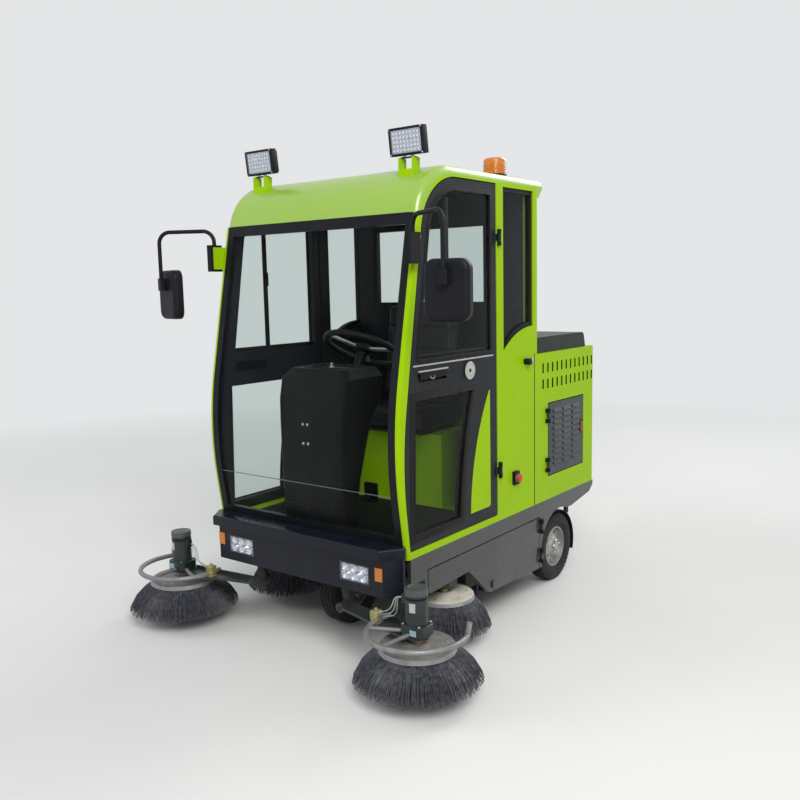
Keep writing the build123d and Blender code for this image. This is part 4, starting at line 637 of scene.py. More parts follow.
def bristle_ring(name, brush):
    """Flared ring of thick bristles, four layers deep, round a dark core, with ragged tips."""
    draw = random.Random(brush["seed"])
    root_z = brush["top"] - SEAT_DROP + 0.002
    layers = []
    for layer in range(LAYERS):
        root = brush["disc"] - 0.001 - 0.008 * layer
        tip = brush["tip"] - 0.013 * layer - 0.006
        places = []
        for n in range(brush["count"]):
            angle = 2 * math.pi * (n + 0.5 * (layer % 2) + draw.uniform(-0.35, 0.35)) / brush["count"]
            long = draw.uniform(0.955, 1.0)
            place = Matrix.Rotation(angle, 4, "Z") @ moved(root, 0, root_z)
            place = place @ Matrix.Rotation(draw.uniform(-0.09, 0.09), 4, "X")
            place = place @ Matrix.Rotation(draw.uniform(-0.035, 0.02), 4, "Y")
            places.append(place @ Matrix.Scale(long, 4) @ moved(-root, 0, -root_z))
        layers.append(copies(strand(root, tip, root_z, brush["end"] + 0.003), places, "layer"))
    core_top = brush["disc"] - 0.006
    low_z = brush["end"] + 0.012
    steps = [(core_top, root_z), (core_top + 0.45 * (brush["tip"] - brush["disc"]), root_z - 0.050),
             (brush["tip"] - 0.062, low_z),
             (brush["tip"] - 0.070, low_z), (brush["disc"] - 0.020, root_z - 0.050),
             (brush["disc"] - 0.036, root_z)]
    return joined(name, layers + [lathe("core", steps, sides=64, bored=True)])


def brush_disc(name, brush):
    """Disc that carries the bristle: banded rim, boss, hexagon nut, spindle and a ring of screws."""
    disc, top = brush["disc"], brush["top"]
    seat = top - SEAT_DROP
    steps = [(disc + 0.002, seat), (disc + 0.005, seat + 0.002), (disc + 0.004, seat + 0.009),
             (disc + 0.001, top - 0.003),
             (disc - 0.002, top), (disc - 0.010, top + 0.0004), (0.066, top + 0.0006), (0.050, top + 0.004),
             (0.038, top + 0.008), (0.0002, top + 0.008)]
    plate = lathe("plate", steps, sides=96, angle=25)
    washer = lathe("washer", [(0.026, top + 0.0078), (0.026, top + 0.0100), (0.015, top + 0.0104)], sides=32)
    nut = lathe("nut", [(0.0200, top + 0.0100), (0.0212, top + 0.0115), (0.0212, top + 0.0195),
                        (0.0185, top + 0.0215), (0.0122, top + 0.0216)],
                sides=6, angle=10)
    spindle = lathe("spindle", [(0.0119, top + 0.010), (0.0119, brush["spindle"] - 0.002),
                                (0.0100, brush["spindle"])], sides=24)
    screw = lathe("screw", [(0.0052, 0), (0.0052, 0.003), (0.0042, 0.0042), (0.0024, 0.0042),
                            (0.0022, 0.0026)], sides=12)
    places = [turned(60 * n + 20, "Z") @ moved(disc - 0.030, 0, top) for n in range(6)]
    screws = copies(screw, places, "screws")
    for piece, finishes in ((plate, (disc_plate if brush["x"] > 0.6 else tan_disc, disc_band)),
                            (washer, (bright_steel,)), (nut, (brass,)),
                            (spindle, (bright_steel,)), (screws, (bright_steel,))):
        paint(piece, *finishes)
    colour_faces(plate, 1, lambda centre, normal: normal.z < 0.7 and centre.z < top - 0.001
                 and centre.z > seat + 0.001)
    return joined(name, [plate, washer, nut, spindle, screws])


disc_plate = surface("worn_disc_plate", (0.24, 0.235, 0.22), (0.155, 0.15, 0.14), 22, (0.45, 0.7), 0.25,
                     grain=(500, 0.25, 0.0005))
tan_disc = surface("dusty_pale_disc", (0.66, 0.63, 0.54), (0.52, 0.49, 0.41), 16, (0.55, 0.75),
                   grain=(450, 0.3, 0.0006))
disc_band = surface("grey_disc_band", (0.36, 0.37, 0.38), (0.26, 0.265, 0.27), 30, (0.35, 0.55), 0.5,
                    grain=(700, 0.2, 0.0004))
brass = surface("brass", (0.62, 0.38, 0.12), (0.45, 0.26, 0.09), 60, (0.25, 0.45), 1.0,
                grain=(1200, 0.15, 0.0003))

for kind, brush in BRUSHES.items():
    ring = bristle_ring("bristle_ring", brush)
    paint(ring, bristle)
    disc = brush_disc("brush_disc", brush)
    for side, sign in SIDES.items():
        place = moved(sign * brush["x"], brush["y"], 0) @ Matrix.Rotation(BRUSH_TURN * sign, 4, "Z")
        fit(twin(ring, f"{kind}_bristle_{side}", place), f"{kind}_brush_{side}", "bristle",
            f"{kind}_brush_{side}")
        fit(twin(disc, f"{kind}_disc_{side}", place), f"{kind}_brush_{side}", "bare_steel")
    bpy.data.objects.remove(ring)
    bpy.data.objects.remove(disc)

# Wheels

WHEEL_R = 0.175
TREAD_PITCH = 44


def tyre(name):
    """Road tyre lying across the machine: ribbed walls and four rows of tread blocks."""
    steps = [(0.104, -0.034), (0.110, -0.037), (0.116, -0.041), (0.124, -0.0425), (0.126, -0.0415),
             (0.128, -0.0428), (0.145, -0.0428),
             (0.147, -0.0418), (0.149, -0.0426), (0.158, -0.0415), (0.165, -0.0375), (0.1700, -0.0300),
             (0.1715, -0.0200), (0.1715, 0.0200),
             (0.1700, 0.0300), (0.165, 0.0375), (0.158, 0.0415), (0.149, 0.0426), (0.147, 0.0418),
             (0.145, 0.0428), (0.128, 0.0428),
             (0.126, 0.0415), (0.124, 0.0425), (0.116, 0.041), (0.110, 0.037), (0.104, 0.034)]
    carcass = lathe("carcass", steps, direction=(1, 0, 0), sides=72, bored=True)
    blocks = []
    for row, (low, high, top) in enumerate(((-0.0365, -0.0215, 0.1738), (-0.0185, -0.0015, 0.1749),
                                            (0.0015, 0.0185, 0.1749), (0.0215, 0.0365, 0.1738))):
        lug = block("lug", (low, -0.0096, 0.1640), (high, 0.0096, top), 0.0010, 1)
        shift = 0.5 if row in (1, 3) else 0.0
        places = [Matrix.Rotation(2 * math.pi * (n + shift) / TREAD_PITCH, 4, "X")
                  for n in range(TREAD_PITCH)]
        blocks.append(copies(lug, places, "lugs"))
    return joined(name, [carcass] + blocks)


def wheel_nuts(name):
    """Hub cap and five nuts on the wheel's outer face, which lies at x 0."""
    cap = lathe("cap", [(0.0185, -0.004), (0.0185, 0.005), (0.0165, 0.0075), (0.008, 0.009),
                        (0.0002, 0.0092)], direction=(1, 0, 0), sides=32)
    nut = lathe("nut", [(0.0068, -0.002), (0.0072, 0), (0.0072, 0.006), (0.0056, 0.0075), (0.0032, 0.0105),
                        (0.0002, 0.0108)],
                direction=(1, 0, 0), sides=6, angle=12)
    places = [Matrix.Rotation(2 * math.pi * n / 5, 4, "X") @ moved(0, 0, 0.031) for n in range(5)]
    return joined(name, [cap, copies(nut, places, "nuts")])


tyre_mesh = tyre("tyre_master")
paint(tyre_mesh, tyre_rubber)
nuts_mesh = wheel_nuts("nuts_master")
paint(nuts_mesh, bright_steel)
FACE_OUT = 0.033
for name, body, x, station, sign in (("front", "front_wheel", 0, 262, 1),
                                     ("rear_left", "rear_wheel_left", 0.487, 1300, 1),
                                     ("rear_right", "rear_wheel_right", -0.487, 1300, -1)):
    hub = moved(x, at(station), WHEEL_R)
    node = name + "_tyre" if name == "front" else name.replace("rear_", "rear_tyre_")
    fit(twin(tyre_mesh, name + "_road_tyre", hub), body, "tyre", node)
    turn = Matrix.Identity(4) if sign > 0 else Matrix.Rotation(math.pi, 4, "Z")
    fit(twin(nuts_mesh, name + "_wheel_nuts", hub @ turn @ moved(FACE_OUT, 0, 0)), body, "bare_steel")
bpy.data.objects.remove(tyre_mesh)
bpy.data.objects.remove(nuts_mesh)

# Lamps

LAMP_X = 0.335
LAMP_FACE = at(-99)
LAMP_Z = 0.394
LAMP_SIZE = (0.157, 0.080)
reflector = surface("bright_reflector", (0.80, 0.82, 0.85), (0.70, 0.72, 0.76), 60, (0.12, 0.22), 0.85,
                    grain=(900, 0.05, 0.0002))
led = surface("pale_lamp_chip", (0.92, 0.93, 0.90), (0.86, 0.88, 0.86), 80, (0.2, 0.3),
              grain=(900, 0.05, 0.0002))
bezel = surface("lamp_bezel", (0.030, 0.032, 0.036), (0.040, 0.042, 0.046), 20, (0.3, 0.42),
                grain=(900, 0.1, 0.0003))
lamp_cover = glass("lamp_cover", (0.95, 0.96, 0.98), 0.5)


def lamp_cell(name, radius, depth):
    """Reflector cup that opens towards the front, with its chip in the middle."""
    steps = [(radius, 0), (radius, depth), (radius * 0.93, depth), (radius * 0.62, depth * 0.45),
             (radius * 0.36, depth * 0.16),
             (radius * 0.30, depth * 0.16), (radius * 0.26, depth * 0.46), (radius * 0.12, depth * 0.58),
             (0.0002, depth * 0.60)]
    cell = lathe(name, steps, direction=(0, -1, 0), sides=28)
    paint(cell, reflector, led)
    colour_faces(cell, 1, lambda centre, normal: centre.x ** 2 + centre.z ** 2 < (radius * 0.33) ** 2)
    return cell


def head_lamp():
    """Left block lamp: bezel, six reflector cups and their clear cover."""
    x, z, (w, h) = LAMP_X, LAMP_Z, LAMP_SIZE
    body = tray("lamp_body", (x - w / 2, LAMP_FACE, z - h / 2), (x + w / 2, LAMP_FACE + 0.030, z + h / 2), 1,
                -1, 0.006, 0.013)
    paint(body, bezel, reflector)
    colour_faces(body, 1, lambda centre, normal: abs(centre.x - x) < w / 2 - 0.006
                 and abs(centre.z - z) < h / 2 - 0.006 and centre.y > LAMP_FACE + 0.001)
    places = [moved(x + (column - 1) * 0.0475, LAMP_FACE + 0.0125, z + (row - 0.5) * 0.0345)
              for column in range(3) for row in range(2)]
    cells = copies(lamp_cell("cell", 0.0164, 0.0105), places, "cells")
    cover = block("cover", (x - w / 2 + 0.0065, LAMP_FACE + 0.0008, z - h / 2 + 0.0065),
                  (x + w / 2 - 0.0065, LAMP_FACE + 0.0018, z + h / 2 - 0.0065), 0)
    paint(cover, lamp_cover)
    return joined("head_lamp", [body, cells, cover])


left_lamp = head_lamp()
right_lamp = twin(left_lamp, "head_lamp_right", MIRROR)
left_lamp.name = "head_lamp_left"
fit(left_lamp, "chassis", "lamp_clear", "head_lamps")
fit(right_lamp, "chassis", "lamp_clear")

# Work lamps and beacon

WORK_LAMP = dict(x=0.423, y=at(212), z=2.124, w=0.168, h=0.116, d=0.044, lean=7)
CHIP_ROWS, CHIP_COLUMNS = 5, 8


def work_lamp():
    """Left roof lamp, leaning forwards: finned housing, rows of chips behind a clear face, bolted cradle."""
    x, y, z, w, h, d, lean = WORK_LAMP.values()
    front, tall, wide = -d / 2, h / 2 - 0.003, w / 2
    shell = tray("shell", (-wide, front, -tall), (wide, d / 2 - 0.006, tall), 1, -1, 0.009, 0.006, 0.0018)
    chip = tray("chip", (-0.0058, 0, -0.0058), (0.0058, 0.004, 0.0058), 1, -1, 0.0016, 0.0022, 0.0004)
    paint(chip, reflector, led)
    colour_faces(chip, 1, lambda centre, normal: centre.y > 0.0015 and abs(centre.x) < 0.0044)
    pitch_x, pitch_z = (w - 0.030) / CHIP_COLUMNS, (h - 0.032) / CHIP_ROWS
    places = [moved((n - (CHIP_COLUMNS - 1) / 2) * pitch_x, front + 0.0022,
                    (m - (CHIP_ROWS - 1) / 2) * pitch_z)
              for n in range(CHIP_COLUMNS) for m in range(CHIP_ROWS)]
    chips = copies(chip, places, "chips")
    back = block("back", (-wide + 0.0095, front + 0.0050, -tall + 0.0095),
                 (wide - 0.0095, front + 0.0064, tall - 0.0095), 0.0003, 1)
    face = block("face", (-wide + 0.0092, front + 0.0004, -tall + 0.0092),
                 (wide - 0.0092, front + 0.0014, tall - 0.0092), 0)
    fin = block("fin", (-0.0016, d / 2 - 0.0065, -tall + 0.008), (0.0016, d / 2 + 0.011, tall - 0.008),
                0.0007, 1)
    fins = copies(fin, [moved((n - 6) * 0.0118, 0, 0) for n in range(13)], "fins")
    screw = lathe("screw", [(0.0036, 0), (0.0036, 0.0016), (0.0028, 0.0024), (0.0016, 0.0024),
                            (0.0014, 0.0012)], direction=(0, -1, 0), sides=10)
    corners = [moved(sx * (wide - 0.0045), front, sz * (tall - 0.0045)) for sx in (-1, 1) for sz in (-1, 1)]
    screws = copies(screw, corners, "screws")
    for piece, finishes in ((shell, (moulded,)), (back, (led_back,)), (face, (lamp_cover,)),
                            (fins, (moulded,)), (screws, (bright_steel,))):
        paint(piece, *finishes)
    head = joined("work_lamp", [shell, back, face, fins, screws, chips])
    head.data.transform(moved(x, y, z) @ turned(lean, "X"))
    low = z - h / 2
    yoke = block("yoke", (x - 0.036, y - 0.012, low - 0.0080), (x + 0.036, y + 0.012, low - 0.0045), 0.0012)
    bolt = lathe("bolt", [(0.0085, 0), (0.0085, 0.0045), (0.0068, 0.0060), (0.0002, 0.0062)], sides=6,
                 angle=10)
    bolts = copies(bolt, [moved(x + side * 0.020, y, low - 0.0050) for side in (-1, 1)], "bolts")
    paint(yoke, moulded)
    paint(bolts, bright_steel)
    return joined("work_lamp", [head, yoke, bolts])


led_back = surface("lamp_back_plate", (0.55, 0.57, 0.60), (0.48, 0.50, 0.53), 60, (0.25, 0.4), 0.5,
                   grain=(900, 0.05, 0.0002))
lamp_left = work_lamp()
fit(twin(lamp_left, "work_lamp_right", MIRROR), "chassis", "black_plastic")
lamp_left.name = "work_lamp_left"
fit(lamp_left, "chassis", "black_plastic", "work_lamps")

BEACON = Vector((0.440, at(850), 2.030))
beacon_foot = lathe("beacon_foot", [(0.057, 0.0005), (0.057, 0.007), (0.0545, 0.0115), (0.0528, 0.0135),
                                    (0.0528, 0.0150)], BEACON, sides=48)
paint(beacon_foot, moulded)
rib = lathe("rib", [(0.0524, 0), (0.0535, 0.0012), (0.0535, 0.0030), (0.0524, 0.0042)], sides=48, bored=True)
beacon_ribs = copies(rib, [Matrix.Translation(BEACON + Vector((0, 0, 0.020 + 0.0088 * n))) for n in range(5)],
                     "beacon_ribs")
paint(beacon_ribs, amber_lens)
fit(beacon_foot, "chassis", "black_plastic")
fit(beacon_ribs, "chassis", "amber")

# Doors

DOOR_FACE = 0.549
PANE_FACE = 0.542
REVEAL_IN = 0.5135
GASKET_LIP = 0.007
FLANGES = {"lower": 0.027, "upper": 0.013}


def pane_outlines(name, node, face_x):
    """Outer edge loops of the panes whose outer face lies at face_x, as one mesh of edges."""
    bpy.ops.object.select_all(action="DESELECT")
    source = nodes[node]
    obj = source.copy()
    obj.data = source.data.copy()
    obj.name = name
    bpy.context.scene.collection.objects.link(obj)
    choose(obj, lambda centre, normal: True)
    bpy.ops.mesh.remove_doubles(threshold=0.00002)
    leave()
    choose(obj, lambda centre, normal: not (normal.x > 0.9 and centre.x > face_x - 0.001))
    bpy.ops.mesh.delete(type="FACE")
    leave()
    choose(obj, lambda centre, normal: True)
    bpy.ops.mesh.dissolve_limited(angle_limit=math.radians(1), use_dissolve_boundaries=False)
    bpy.ops.mesh.delete(type="ONLY_FACE")
    leave()
    return obj


def rubber_ring(name, outline, low_x, high_x, inside, outside, bevel=0.0012):
    """Rubber strip along an outline, from low_x to high_x, this far inside and outside the edge."""
    obj = twin(outline, name, Matrix.Identity(4))
    alone(obj)
    bpy.ops.object.mode_set(mode="EDIT")
    bpy.ops.mesh.select_mode(type="EDGE")
    bpy.ops.mesh.select_all(action="SELECT")
    bpy.ops.transform.translate(value=(low_x - obj.data.vertices[0].co.x, 0, 0))
    bpy.ops.mesh.extrude_edges_move(TRANSFORM_OT_translate={"value": (high_x - low_x, 0, 0)})
    leave()
    outward(obj)
    total = inside + outside
    modify(obj, "SOLIDIFY", thickness=total, offset=(outside - inside) / total, use_even_offset=True,
           use_quality_normals=True)
    outward(obj)
    if bevel:
        modify(obj, "BEVEL", width=bevel, segments=2, limit_method="ANGLE", angle_limit=math.radians(50))
    return smooth(obj, 35)


def door_gaskets():
    """Rubber round both panes of the left door: a flat flange on the frame and a lip over the glass."""
    both = pane_outlines("outline", "door_glass_left", PANE_FACE)
    alone(both)
    bpy.ops.object.mode_set(mode="EDIT")
    bpy.ops.mesh.separate(type="LOOSE")
    bpy.ops.object.mode_set(mode="OBJECT")
    outlines = list(bpy.context.selected_objects)
    rings = []
    for outline in outlines:
        high = max(vertex.co.z for vertex in outline.data.vertices)
        flange = FLANGES["upper" if high > 1.5 else "lower"]
        rings.append(rubber_ring("flange", outline, DOOR_FACE - 0.0002, DOOR_FACE + 0.0016, GASKET_LIP,
                                 flange))
        rings.append(rubber_ring("lip", outline, PANE_FACE + 0.0002, DOOR_FACE + 0.0034, GASKET_LIP, 0.0015,
                                 0.0016))
        rings.append(rubber_ring("reveal", outline, REVEAL_IN, PANE_FACE - 0.0052, 0.003, 0.0002, 0))
    for outline in outlines:
        bpy.data.objects.remove(outline)
    gasket = joined("door_gasket", rings)
    paint(gasket, rubber)
    return gasket


fit_pair(door_gaskets(), "door_SIDE", "seal_rubber")

BADGE = Vector((DOOR_FACE + 0.004, at(445), 1.181))
BADGE_STEPS = [(0.0370, 0), (0.0385, 0.0010), (0.0385, 0.0030), (0.0365, 0.0042), (0.0330, 0.0042),
               (0.0315, 0.0030), (0.0180, 0.0030),
               (0.0168, 0.0040), (0.0135, 0.0042), (0.0120, 0.0030), (0.0085, 0.0028), (0.0075, 0.0010),
               (0.0002, 0.0008)]


def door_badge():
    """Plain pale disc on the left door, with turned rings and a dark socket in its middle."""
    disc = lathe("door_badge", BADGE_STEPS, (0, 0, 0), (1, 0, 0), 56, angle=20)
    paint(disc, off_white, rubber)
    colour_faces(disc, 1, lambda centre, normal: centre.y ** 2 + centre.z ** 2 < 0.0084 ** 2)
    disc.data.transform(Matrix.Translation(BADGE))
    return disc


fit_pair(door_badge(), "door_SIDE", "grey_paint")

POCKET = dict(front=at(78), rear=at(274), low=1.166, high=1.208)


def door_handle():
    """Bright lip over the pocket of the left door and the curved lever under it."""
    lip = block("lip", (DOOR_FACE - 0.0040, POCKET["front"] - 0.004, POCKET["high"] - 0.0030),
                (DOOR_FACE + 0.0080, POCKET["rear"] + 0.004, POCKET["high"] + 0.0035), 0.0016)
    middle = (POCKET["front"] + POCKET["rear"]) / 2 - 0.010
    lever_line = [(DOOR_FACE - 0.002, middle - 0.016, POCKET["high"] - 0.008),
                  (DOOR_FACE + 0.007, middle - 0.015, POCKET["low"] + 0.012),
                  (DOOR_FACE + 0.009, middle, POCKET["low"] + 0.006),
                  (DOOR_FACE + 0.007, middle + 0.015, POCKET["low"] + 0.012),
                  (DOOR_FACE - 0.002, middle + 0.016, POCKET["high"] - 0.008)]
    lever = tube("lever", lever_line, 0.0026, 3)
    paint(lip, pale_metal)
    paint(lever, hoop_grey)
    return joined("door_handle", [lip, lever])


fit_pair(door_handle(), "door_SIDE", "bare_steel")

SASH_Y = at(308)
SASH_LOW, SASH_HIGH = 1.262, 1.900
BELT_STRIP = (at(42), at(642), 1.2285, 1.2350)


def door_bars():
    """Upright, latch and lower rail of the sliding pane in the left door."""
    bar = block("bar", (PANE_FACE - 0.0125, SASH_Y - 0.013, SASH_LOW),
                (PANE_FACE - 0.0052, SASH_Y + 0.013, SASH_HIGH), 0.0022)
    pull = block("pull", (PANE_FACE - 0.021, SASH_Y + 0.002, 1.560),
                 (PANE_FACE - 0.0118, SASH_Y + 0.012, 1.625), 0.003)
    rail = block("rail", (PANE_FACE - 0.0165, SASH_Y - 0.30, SASH_LOW - 0.007),
                 (PANE_FACE - 0.0052, at(620), SASH_LOW + 0.010), 0.002)
    for piece in (bar, pull, rail):
        paint(piece, moulded)
    return joined("door_sash", [bar, pull, rail])


fit_pair(door_bars(), "door_SIDE", "black_plastic")
strip = block("belt_strip", (DOOR_FACE - 0.0002, BELT_STRIP[0], BELT_STRIP[2]),
              (DOOR_FACE + 0.0026, BELT_STRIP[1], BELT_STRIP[3]), 0.0011)
paint(strip, pale_metal)
fit_pair(strip, "door_SIDE", "bare_steel")

# Small parts on the body

STOP = Vector((0.566, at(830), 0.637))
KNOB = Vector((0.578, at(932), 1.179))


def stop_button():
    """Red mushroom button on the left stop switch box, with its collar."""
    collar = lathe("collar", [(0.0180, 0), (0.0180, 0.0022), (0.0160, 0.0030)], sides=36)
    stem = lathe("stem", [(0.0115, 0.0022), (0.0115, 0.0080)], sides=24)
    cap = lathe("cap", [(0.0150, 0.0072), (0.0196, 0.0088), (0.0200, 0.0120), (0.0180, 0.0160),
                        (0.0120, 0.0186), (0.0002, 0.0194)], sides=40)
    paint(collar, pale_metal)
    paint(stem, moulded)
    paint(cap, stop_red)
    button = joined("stop_button", [collar, stem, cap])
    button.data.transform(Matrix.Translation(STOP) @ turned(90, "Y"))
    return button


def body_catch():
    """Round grip of the left body catch with its bright tongue over the joint, and the keeper it hooks."""
    grip = lathe("grip", [(0.0150, -0.006), (0.0165, -0.002), (0.0165, 0.0015), (0.0140, 0.0040),
                          (0.0060, 0.0046), (0.0002, 0.0047)],
                 KNOB, (1, 0, 0), 36)
    tongue_line = ((-0.010, 0.004, 0.001), (-0.010, 0.026, 0.002), (-0.012, 0.050, 0.003),
                   (-0.024, 0.064, 0.003))
    tongue = tube("tongue", [KNOB + Vector(offset) for offset in tongue_line], 0.0036, 3)
    keeper = block("keeper", KNOB + Vector((-0.0285, 0.056, -0.012)), KNOB + Vector((-0.0225, 0.074, 0.018)),
                   0.0015)
    paint(grip, moulded)
    paint(tongue, bright_steel)
    paint(keeper, bright_steel)
    return joined("body_catch", [grip, tongue, keeper])


def vent_latch():
    """Red paddle of the left vent door's latch in its black dish."""
    y, z, face = at(1535), 0.782, 0.5510
    dish = tray("dish", (face - 0.0006, y - 0.017, z - 0.036), (face + 0.0022, y + 0.017, z + 0.036), 0, 1,
                0.0040, 0.0014, 0.0006)
    paddle = block("paddle", (face + 0.0004, y - 0.0105, z - 0.029), (face + 0.0056, y + 0.0105, z + 0.029),
                   0.0022)
    paint(dish, moulded)
    paint(paddle, latch_red)
    return joined("vent_latch", [dish, paddle])


latch_red = surface("latch_red", (0.26, 0.050, 0.022), (0.20, 0.036, 0.018), 40, (0.35, 0.5),
                    grain=(900, 0.1, 0.0002))
fit_pair(stop_button(), "chassis", "red_lens")
fit_pair(body_catch(), "chassis", "bare_steel")
fit_pair(vent_latch(), "vent_door_SIDE", "red_lens")

joint_bead = block("joint_bead", (0.5494, at(1024) - 0.0032, 0.462), (0.5507, at(1024) + 0.0032, 1.206),
                   0.0005, 1)
paint(joint_bead, rubber)
fit_pair(joint_bead, "chassis", "seal_rubber")

glass_edge = surface("glass_edge", (0.10, 0.125, 0.115), (0.085, 0.105, 0.095), 9, (0.3, 0.4),
                     grain=(900, 0.05, 0.0001))
SEAM_Z, SEAM_HALF = 0.717, 0.494
_, seam_place, seam_normal, _ = nodes["windscreen_glass"].ray_cast(Vector((0, -3, SEAM_Z + 0.008)),
                                                                   Vector((0, 1, 0)))
seam = block("windscreen_seam", (-SEAM_HALF, -0.0010, -0.0018), (SEAM_HALF, 0.0010, 0.0018), 0.0004, 1)
seam.data.transform(moved(0, seam_place.y - 0.0006, SEAM_Z)
                    @ Vector((0, -1, 0)).rotation_difference(seam_normal).to_matrix().to_4x4())
paint(seam, glass_edge)
fit(seam, "chassis", "seal_rubber")

MIRROR_HEAD = dict(x=0.788, y=at(-60), z=1.528, w=0.178, h=0.228, d=0.046, turn=14)


def mirror_face():
    """Glass of the left mirror in its recess."""
    m = MIRROR_HEAD
    half_w, half_h, back = m["w"] / 2 - 0.0095, m["h"] / 2 - 0.0095, m["d"] / 2
    plate = rounded_plate("mirror_face", (-half_w, back - 0.0030, -half_h), (half_w, back - 0.0008, half_h),
                          1, 0.0300)
    plate.data.transform(moved(m["x"], m["y"], m["z"]) @ turned(m["turn"], "Z"))
    paint(plate, mirror_silver)
    return plate


mirror_silver = surface("mirror_silver", (0.80, 0.82, 0.83), (0.78, 0.80, 0.81), 3, (0.02, 0.03), 1.0,
                        grain=(400, 0.0, 0.0001))
fit_pair(mirror_face(), "chassis", "black_plastic")

# Seat

SEAT_FOOT = Vector((0, at(852), 0.870))
SEAT_LEAN = math.radians(8)
CUSHION = ((-0.240, at(507), 0.8645), (0.240, at(837), 0.9700))
BACK = ((-0.230, -0.0720, 0.1045), (0.230, 0.0130, 0.5900))
VOXEL = 0.006
PAD_INSET = 0.008
PAD_CORNER = 0.024
PAD_SWELL = 0.0075
HELD_DEPTH = 0.012
WELT_R = 0.0032
CHANNEL_WIDTH = 0.007
CHANNEL_DEPTH = 0.0055
CUSHION_SEAMS = (-0.112, 0.112)
BACK_SEAMS = (0.235, 0.350, 0.465)
FRAMES = 20


def swollen(name, shape, held):
    """The closed form as a stuffed cover, by cloth under pressure with the points in held fixed.
    """
    shape.name = name
    modify(shape, "REMESH", mode="VOXEL", voxel_size=VOXEL)
    start = [vertex.co.copy() for vertex in shape.data.vertices]
    group = shape.vertex_groups.new(name="held")
    group.add([n for n, place in enumerate(start) if held(place)], 1.0, "REPLACE")
    alone(shape)
    cover = shape.modifiers.new("cover", "CLOTH")
    cover.settings.quality = 4
    cover.settings.mass = 0.3
    cover.settings.use_pressure = True
    cover.settings.uniform_pressure_force = 4.0
    cover.settings.vertex_group_mass = "held"
    cover.settings.effector_weights.gravity = 0
    cover.point_cache.frame_start = 1
    cover.point_cache.frame_end = FRAMES
    for number in range(1, FRAMES + 1):
        bpy.context.scene.frame_set(number)
    bpy.ops.object.modifier_apply(modifier="cover")
    bpy.context.scene.frame_set(1)
    shape.vertex_groups.clear()
    for vertex, place in zip(shape.data.vertices, start):
        move = vertex.co - place
        if move.length > PAD_SWELL:
            vertex.co = place + move.normalized() * PAD_SWELL
    modify(shape, "SMOOTH", factor=0.5, iterations=3)
    modify(shape, "SUBSURF", levels=1, render_levels=1)
    return smooth(shape, 60)


def channels(shape, wanted, distance):
    """Sewn channels pressed into shape where wanted holds and distance, to the nearest seam, is small."""
    pressed = [(vertex, vertex.normal.copy()) for vertex in shape.data.vertices
               if wanted(vertex.co, vertex.normal)]
    for vertex, normal in pressed:
        vertex.co = vertex.co - normal * CHANNEL_DEPTH * math.exp(-(distance(vertex.co) / CHANNEL_WIDTH) ** 2)
    return shape


def piping(name, shape, height, half_x, low_y, high_y):
    """Welt round a pad at one height, lying on its swollen side."""
    middle = Vector((0, (low_y + high_y) / 2, height))
    line = []
    for n in range(48):
        angle = 2 * math.pi * n / 48
        way = Vector((math.cos(angle), math.sin(angle) * (high_y - low_y) / (2 * half_x), 0)).normalized()
        found, place, _, _ = shape.ray_cast(middle + way * 0.6, -way)
        if found:
            line.append(place - way * 0.0008)
    return tube(name, line + [line[0]], WELT_R)


def seat_block(low, high):
    """Pad before it is stuffed: its box made a little smaller, with round corners."""
    return block("pad", [v + PAD_INSET for v in low], [v - PAD_INSET for v in high], PAD_CORNER, 4)


def cushion():
    """Seat cushion with two sewn channels, a welt and a flat underside."""
    low, high = CUSHION
    pad = swollen("seat_cushion", seat_block(low, high), lambda place: place.z < low[2] + HELD_DEPTH)
    channels(pad, lambda place, normal: normal.z > 0.5,
             lambda place: min(abs(place.x - x) for x in CUSHION_SEAMS))
    welt = piping("welt", pad, high[2] - 0.030, 0.235, low[1], high[1])
    paint(pad, vinyl)
    paint(welt, vinyl)
    return pad, welt


def backrest():
    """Backrest with three cross channels and a welt, leaning back."""
    low, high = BACK
    pad = swollen("seat_back", seat_block(low, high), lambda place: place.y > high[1] - HELD_DEPTH)
    channels(pad, lambda place, normal: normal.y < -0.5,
             lambda place: min(abs(place.z - z) for z in BACK_SEAMS))
    upright = turned(90, "X")
    pad.data.transform(upright)
    welt = piping("welt", pad, low[1] + 0.026, 0.225, -high[2], -low[2])
    for piece in (pad, welt):
        piece.data.transform(Matrix.Translation(SEAT_FOOT) @ Matrix.Rotation(-SEAT_LEAN, 4, "X")
                             @ upright.inverted())
        paint(piece, vinyl)
    return pad, welt


seat_cushion, cushion_welt = cushion()
seat_back, back_welt = backrest()
fit(seat_cushion, "chassis", "seat_vinyl", "seat_pads")
fit(seat_back, "chassis", "seat_vinyl", "seat_pads")
fit(joined("seat_welts", [cushion_welt, back_welt]), "chassis", "seat_vinyl")

# Steering wheel, pedestal and floor

WHEEL_MIDDLE = Vector((0, at(400), 1.262))
WHEEL_TILT = math.radians(28)


